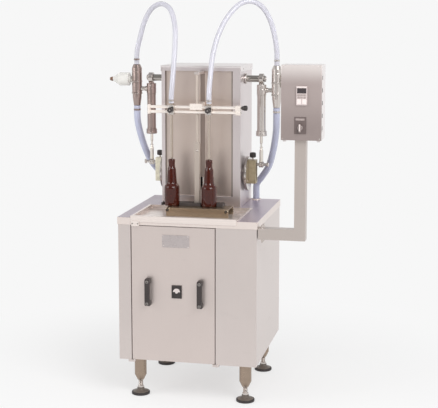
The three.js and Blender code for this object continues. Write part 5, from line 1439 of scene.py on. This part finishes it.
class FILLER_OT_controls(bpy.types.Operator):
    """Make the control box on its arm, with its display and dial"""

    bl_idname = "filler.controls"
    bl_label = "Control box"

    def execute(self, context):
        arm = Piece("box_arm", "arm", "turned_y")
        arm.copied("control_arm", 1.6)
        for y in (14.0, 46.0):
            for z in (779.6, 844.4):
                arm.screw((348.3, y, z), "X", 3.4, 1, 1.8)
        arm.place("base", "stainless_sheet", "control_arm")
        case = Piece("box_case", "lid", "turned", "plastic")
        case.copied("control_box_case", 1.0)
        hinge_x = 604.9
        clip_left, clip_right = 605.2, 608.2
        for z in (1286.0, 1517.0):
            for offset in (-9.0, 9.0):
                case.turned(bar_profile(3.4, -2, 2), (hinge_x, 2, z + offset), "Z", 0.4, 20, 1)
        for z in (1290.0, 1345.0, 1400.0, 1455.0, 1510.0):
            case.box((clip_left, 2, z - 9), (clip_right, 12, z + 9), 1.0, 2)
        case.place("base", "stainless_sheet", "control_box_case")
        door = Piece("box_door_sheet", "face", "turned_y")
        door.copied("control_box_door", 1.4)
        for x in (437.0, 600.0):
            for z in (1245.0, 1558.0):
                door.screw((x, -20, z), "Y", 2.4, 1, -0.8)
        door.place("box_door", "stainless_sheet", "control_box_door")
        self.display()
        self.dial()
        return {"FINISHED"}

    def display(self):
        piece = Piece("display_face", "mid_keys", "window", "dull_keys", "keys")
        low, high = 497.0, 545.0
        face = near("display_unit")
        piece.box((low, face, 1391), (high, -20.2, 1474), 1.0, 0)
        piece.box((low + 2, face - 0.4, 1467), (high - 2, face + 1, 1472.5), 0.4, 3)
        piece.box((low + 4, face - 0.5, 1443), (high - 4, face + 1, 1465.5), 0.7, 1)
        for column in range(3):
            for row in range(2):
                x = low + 11 + column * 13.0
                z = 1435.5 - row * 10.0
                piece.box((x - 5.2, face - 1.0, z - 3.6), (x + 5.2, face + 1, z + 3.6), 1.0, 2)
        for x in (low + 12.5, high - 12.5):
            piece.box((x - 9.0, face - 1.0, 1396), (x + 9.0, face + 1, 1418), 1.2, 3)
        piece.place("box_door", "control_plastic", "display_unit")

    def dial(self):
        x, z = 515.0, 1293.0
        plate = Piece("dial_and_plate", "dial")
        plate.box((489, -22.25, 1266), (541, -20.1, 1340), 0.2, 0)
        plate.place("box_door", "control_plastic")
        strip = Piece("dial_strip", "dull_keys")
        strip.box((495, -22.6, 1325), (534, -21.6, 1334), 0.3, 0)
        strip.place("box_door", "control_plastic")
        knob = Piece("dial_knob", "dull_keys", "keys")
        knob.turned([(0, -32.2), (10.6, -32.2), (11.9, -31), (12.2, -22.3), (0, -22.3)], (x, 0, z), "Y",
                    0.6, 56, 0, 20, 0.5)
        knob.box((x - 4, -42.2, z - 17.6), (x + 4, -31.6, z + 17.6), 1.4, 0)
        knob.box((x - 2.2, -42.5, z - 12), (x + 2.2, -41, z + 16.6), 0.4, 1)
        knob.place("selector", "control_plastic", "selector_knob")


class FILLER_OT_stage(bpy.types.Operator):
    """Lay the pale floor, light the world softly and hang the lamps"""

    bl_idname = "filler.stage"
    bl_label = "Floor and lamps"

    def execute(self, context):
        stage = context.scene.filler_stage
        self.floor(stage)
        self.world(context, stage)
        self.lamp("key_lamp", *KEY_LAMP, stage.key)
        self.lamp("fill_lamp", *FILL_LAMP, stage.fill)
        context.scene.view_settings.view_transform = "Standard"
        return {"FINISHED"}

    def floor(self, stage):
        mesh = bmesh.new()
        bmesh.ops.create_grid(mesh, x_segments=2, y_segments=2, size=FLOOR_REACH)
        bmesh.ops.translate(mesh, vec=(ORIGIN.x, ORIGIN.y + 0.3, -0.0002), verts=mesh.verts)
        data = bpy.data.meshes.new("pale_floor")
        mesh.to_mesh(data)
        mesh.free()
        sheet = Sheet("pale_floor")
        shade = (stage.backdrop,) * 3
        away = sheet.node("ShaderNodeVectorMath", {"operation": "DISTANCE"}, {
            0: sheet.places, 1: (ORIGIN.x, ORIGIN.y + 0.32, 0.0),
        }, "Value")
        speck = sheet.noise(sheet.places, 60.0, 3.0, 0.6)
        sheet.set("Base Color", sheet.mix(speck, shaded(shade, 0.985), shade))
        sheet.set("Roughness", speck * 0.1 + 0.75)
        glow = sheet.node("ShaderNodeEmission", None, {"Color": shade, "Strength": 1.0})
        fade = sheet.ramp(away, *SHADOW_FADE, 0.55)
        blended = sheet.mix_shaders(fade, Link(sheet, sheet.shader.outputs[0]), glow)
        sheet.feed(sheet.output.inputs["Surface"], blended)
        data.materials.append(sheet.done(Specular_IOR_Level=0.1))
        made = bpy.data.objects.new("pale_floor", data)
        bpy.context.scene.collection.objects.link(made)

    def world(self, context, stage):
        world = bpy.data.worlds.new("soft_room")
        world.use_nodes = True
        context.scene.world = world
        room = Graph(world.node_tree)
        heading = room.node("ShaderNodeTexCoord", output="Generated")
        upward = room.node("ShaderNodeSeparateXYZ", None, {0: heading}, "Z")
        backward = room.node("ShaderNodeSeparateXYZ", None, {0: heading}, "Y")
        height = room.node("ShaderNodeMapRange", None, {"Value": upward, "From Min": -1.0})
        walls = room.node("ShaderNodeValToRGB", {"stops": ROOM_STOPS}, {"Fac": height})
        near_side = room.ramp(backward, *NEAR_SIDE) * stage.dark_side
        dark = from_bytes(*DARK_ROOM)
        soft = room.background(room.mix(near_side * SOFT_SHARE, (1.0, 1.0, 1.0), dark), stage.ambient)
        mirrored = room.background(room.mix(near_side, walls, dark))
        seen = room.background((stage.backdrop,) * 3)
        straight = room.ray("Is Camera Ray")
        either = straight.apply("MAXIMUM", straight, room.ray("Is Transmission Ray"))
        lit = room.mix_shaders(room.ray("Is Glossy Ray"), soft, mirrored)
        output = room.tree.nodes.new("ShaderNodeOutputWorld")
        room.feed(output.inputs["Surface"], room.mix_shaders(either, lit, seen))

    def lamp(self, name, place, target, size, power):
        data = bpy.data.lights.new(name, "AREA")
        data.shape = "RECTANGLE"
        data.size, data.size_y = size
        data.energy = power
        made = bpy.data.objects.new(name, data)
        made.location = to_metres(place, 0.0)
        aim = to_metres(target, 0.0) - made.location
        made.rotation_euler = aim.to_track_quat("-Z", "Y").to_euler()
        made.visible_camera = False
        bpy.context.scene.collection.objects.link(made)


class FILLER_OT_finishes(bpy.types.Operator):
    """Make the materials from the colours that are set"""

    bl_idname = "filler.finishes"
    bl_label = "Finishes"

    def execute(self, context):
        make_materials(context.scene.filler_colours)
        return {"FINISHED"}


STEPS = (
    FILLER_OT_camera, FILLER_OT_finishes, FILLER_OT_hoses, FILLER_OT_cabinet, FILLER_OT_feet,
    FILLER_OT_front_panel, FILLER_OT_table, FILLER_OT_bottles, FILLER_OT_housing, FILLER_OT_guide,
    FILLER_OT_carriage, FILLER_OT_nozzles, FILLER_OT_drive, FILLER_OT_metering, FILLER_OT_controls,
    FILLER_OT_stage,
)


class FILLER_PT_panel(bpy.types.Panel):
    """The machine's settings and the buttons that make its pieces"""

    bl_idname = "FILLER_PT_panel"
    bl_label = "Filling machine"
    bl_space_type = "VIEW_3D"
    bl_region_type = "UI"
    bl_category = "Filling machine"

    def draw(self, context):
        for group in (context.scene.filler_colours, context.scene.filler_sizes, context.scene.filler_stage):
            column = self.layout.column()
            for name in group.bl_rna.properties.keys():
                if name not in ("rna_type", "name"):
                    column.prop(group, name)
        for step in STEPS:
            self.layout.operator(step.bl_idname)


GROUPS = (
    ("filler_colours", FILLER_PG_colours),
    ("filler_sizes", FILLER_PG_sizes),
    ("filler_stage", FILLER_PG_stage),
)


def register():
    for name, group in GROUPS:
        bpy.utils.register_class(group)
        setattr(bpy.types.Scene, name, bpy.props.PointerProperty(type=group))
    for step in STEPS:
        bpy.utils.register_class(step)
    bpy.utils.register_class(FILLER_PT_panel)


def unregister():
    bpy.utils.unregister_class(FILLER_PT_panel)
    for step in reversed(STEPS):
        bpy.utils.unregister_class(step)
    for name, group in reversed(GROUPS):
        delattr(bpy.types.Scene, name)
        bpy.utils.unregister_class(group)


def main():
    register()
    for step in STEPS:
        group, name = step.bl_idname.split(".")
        getattr(getattr(bpy.ops, group), name)()


if __name__ == "__main__":
    main()
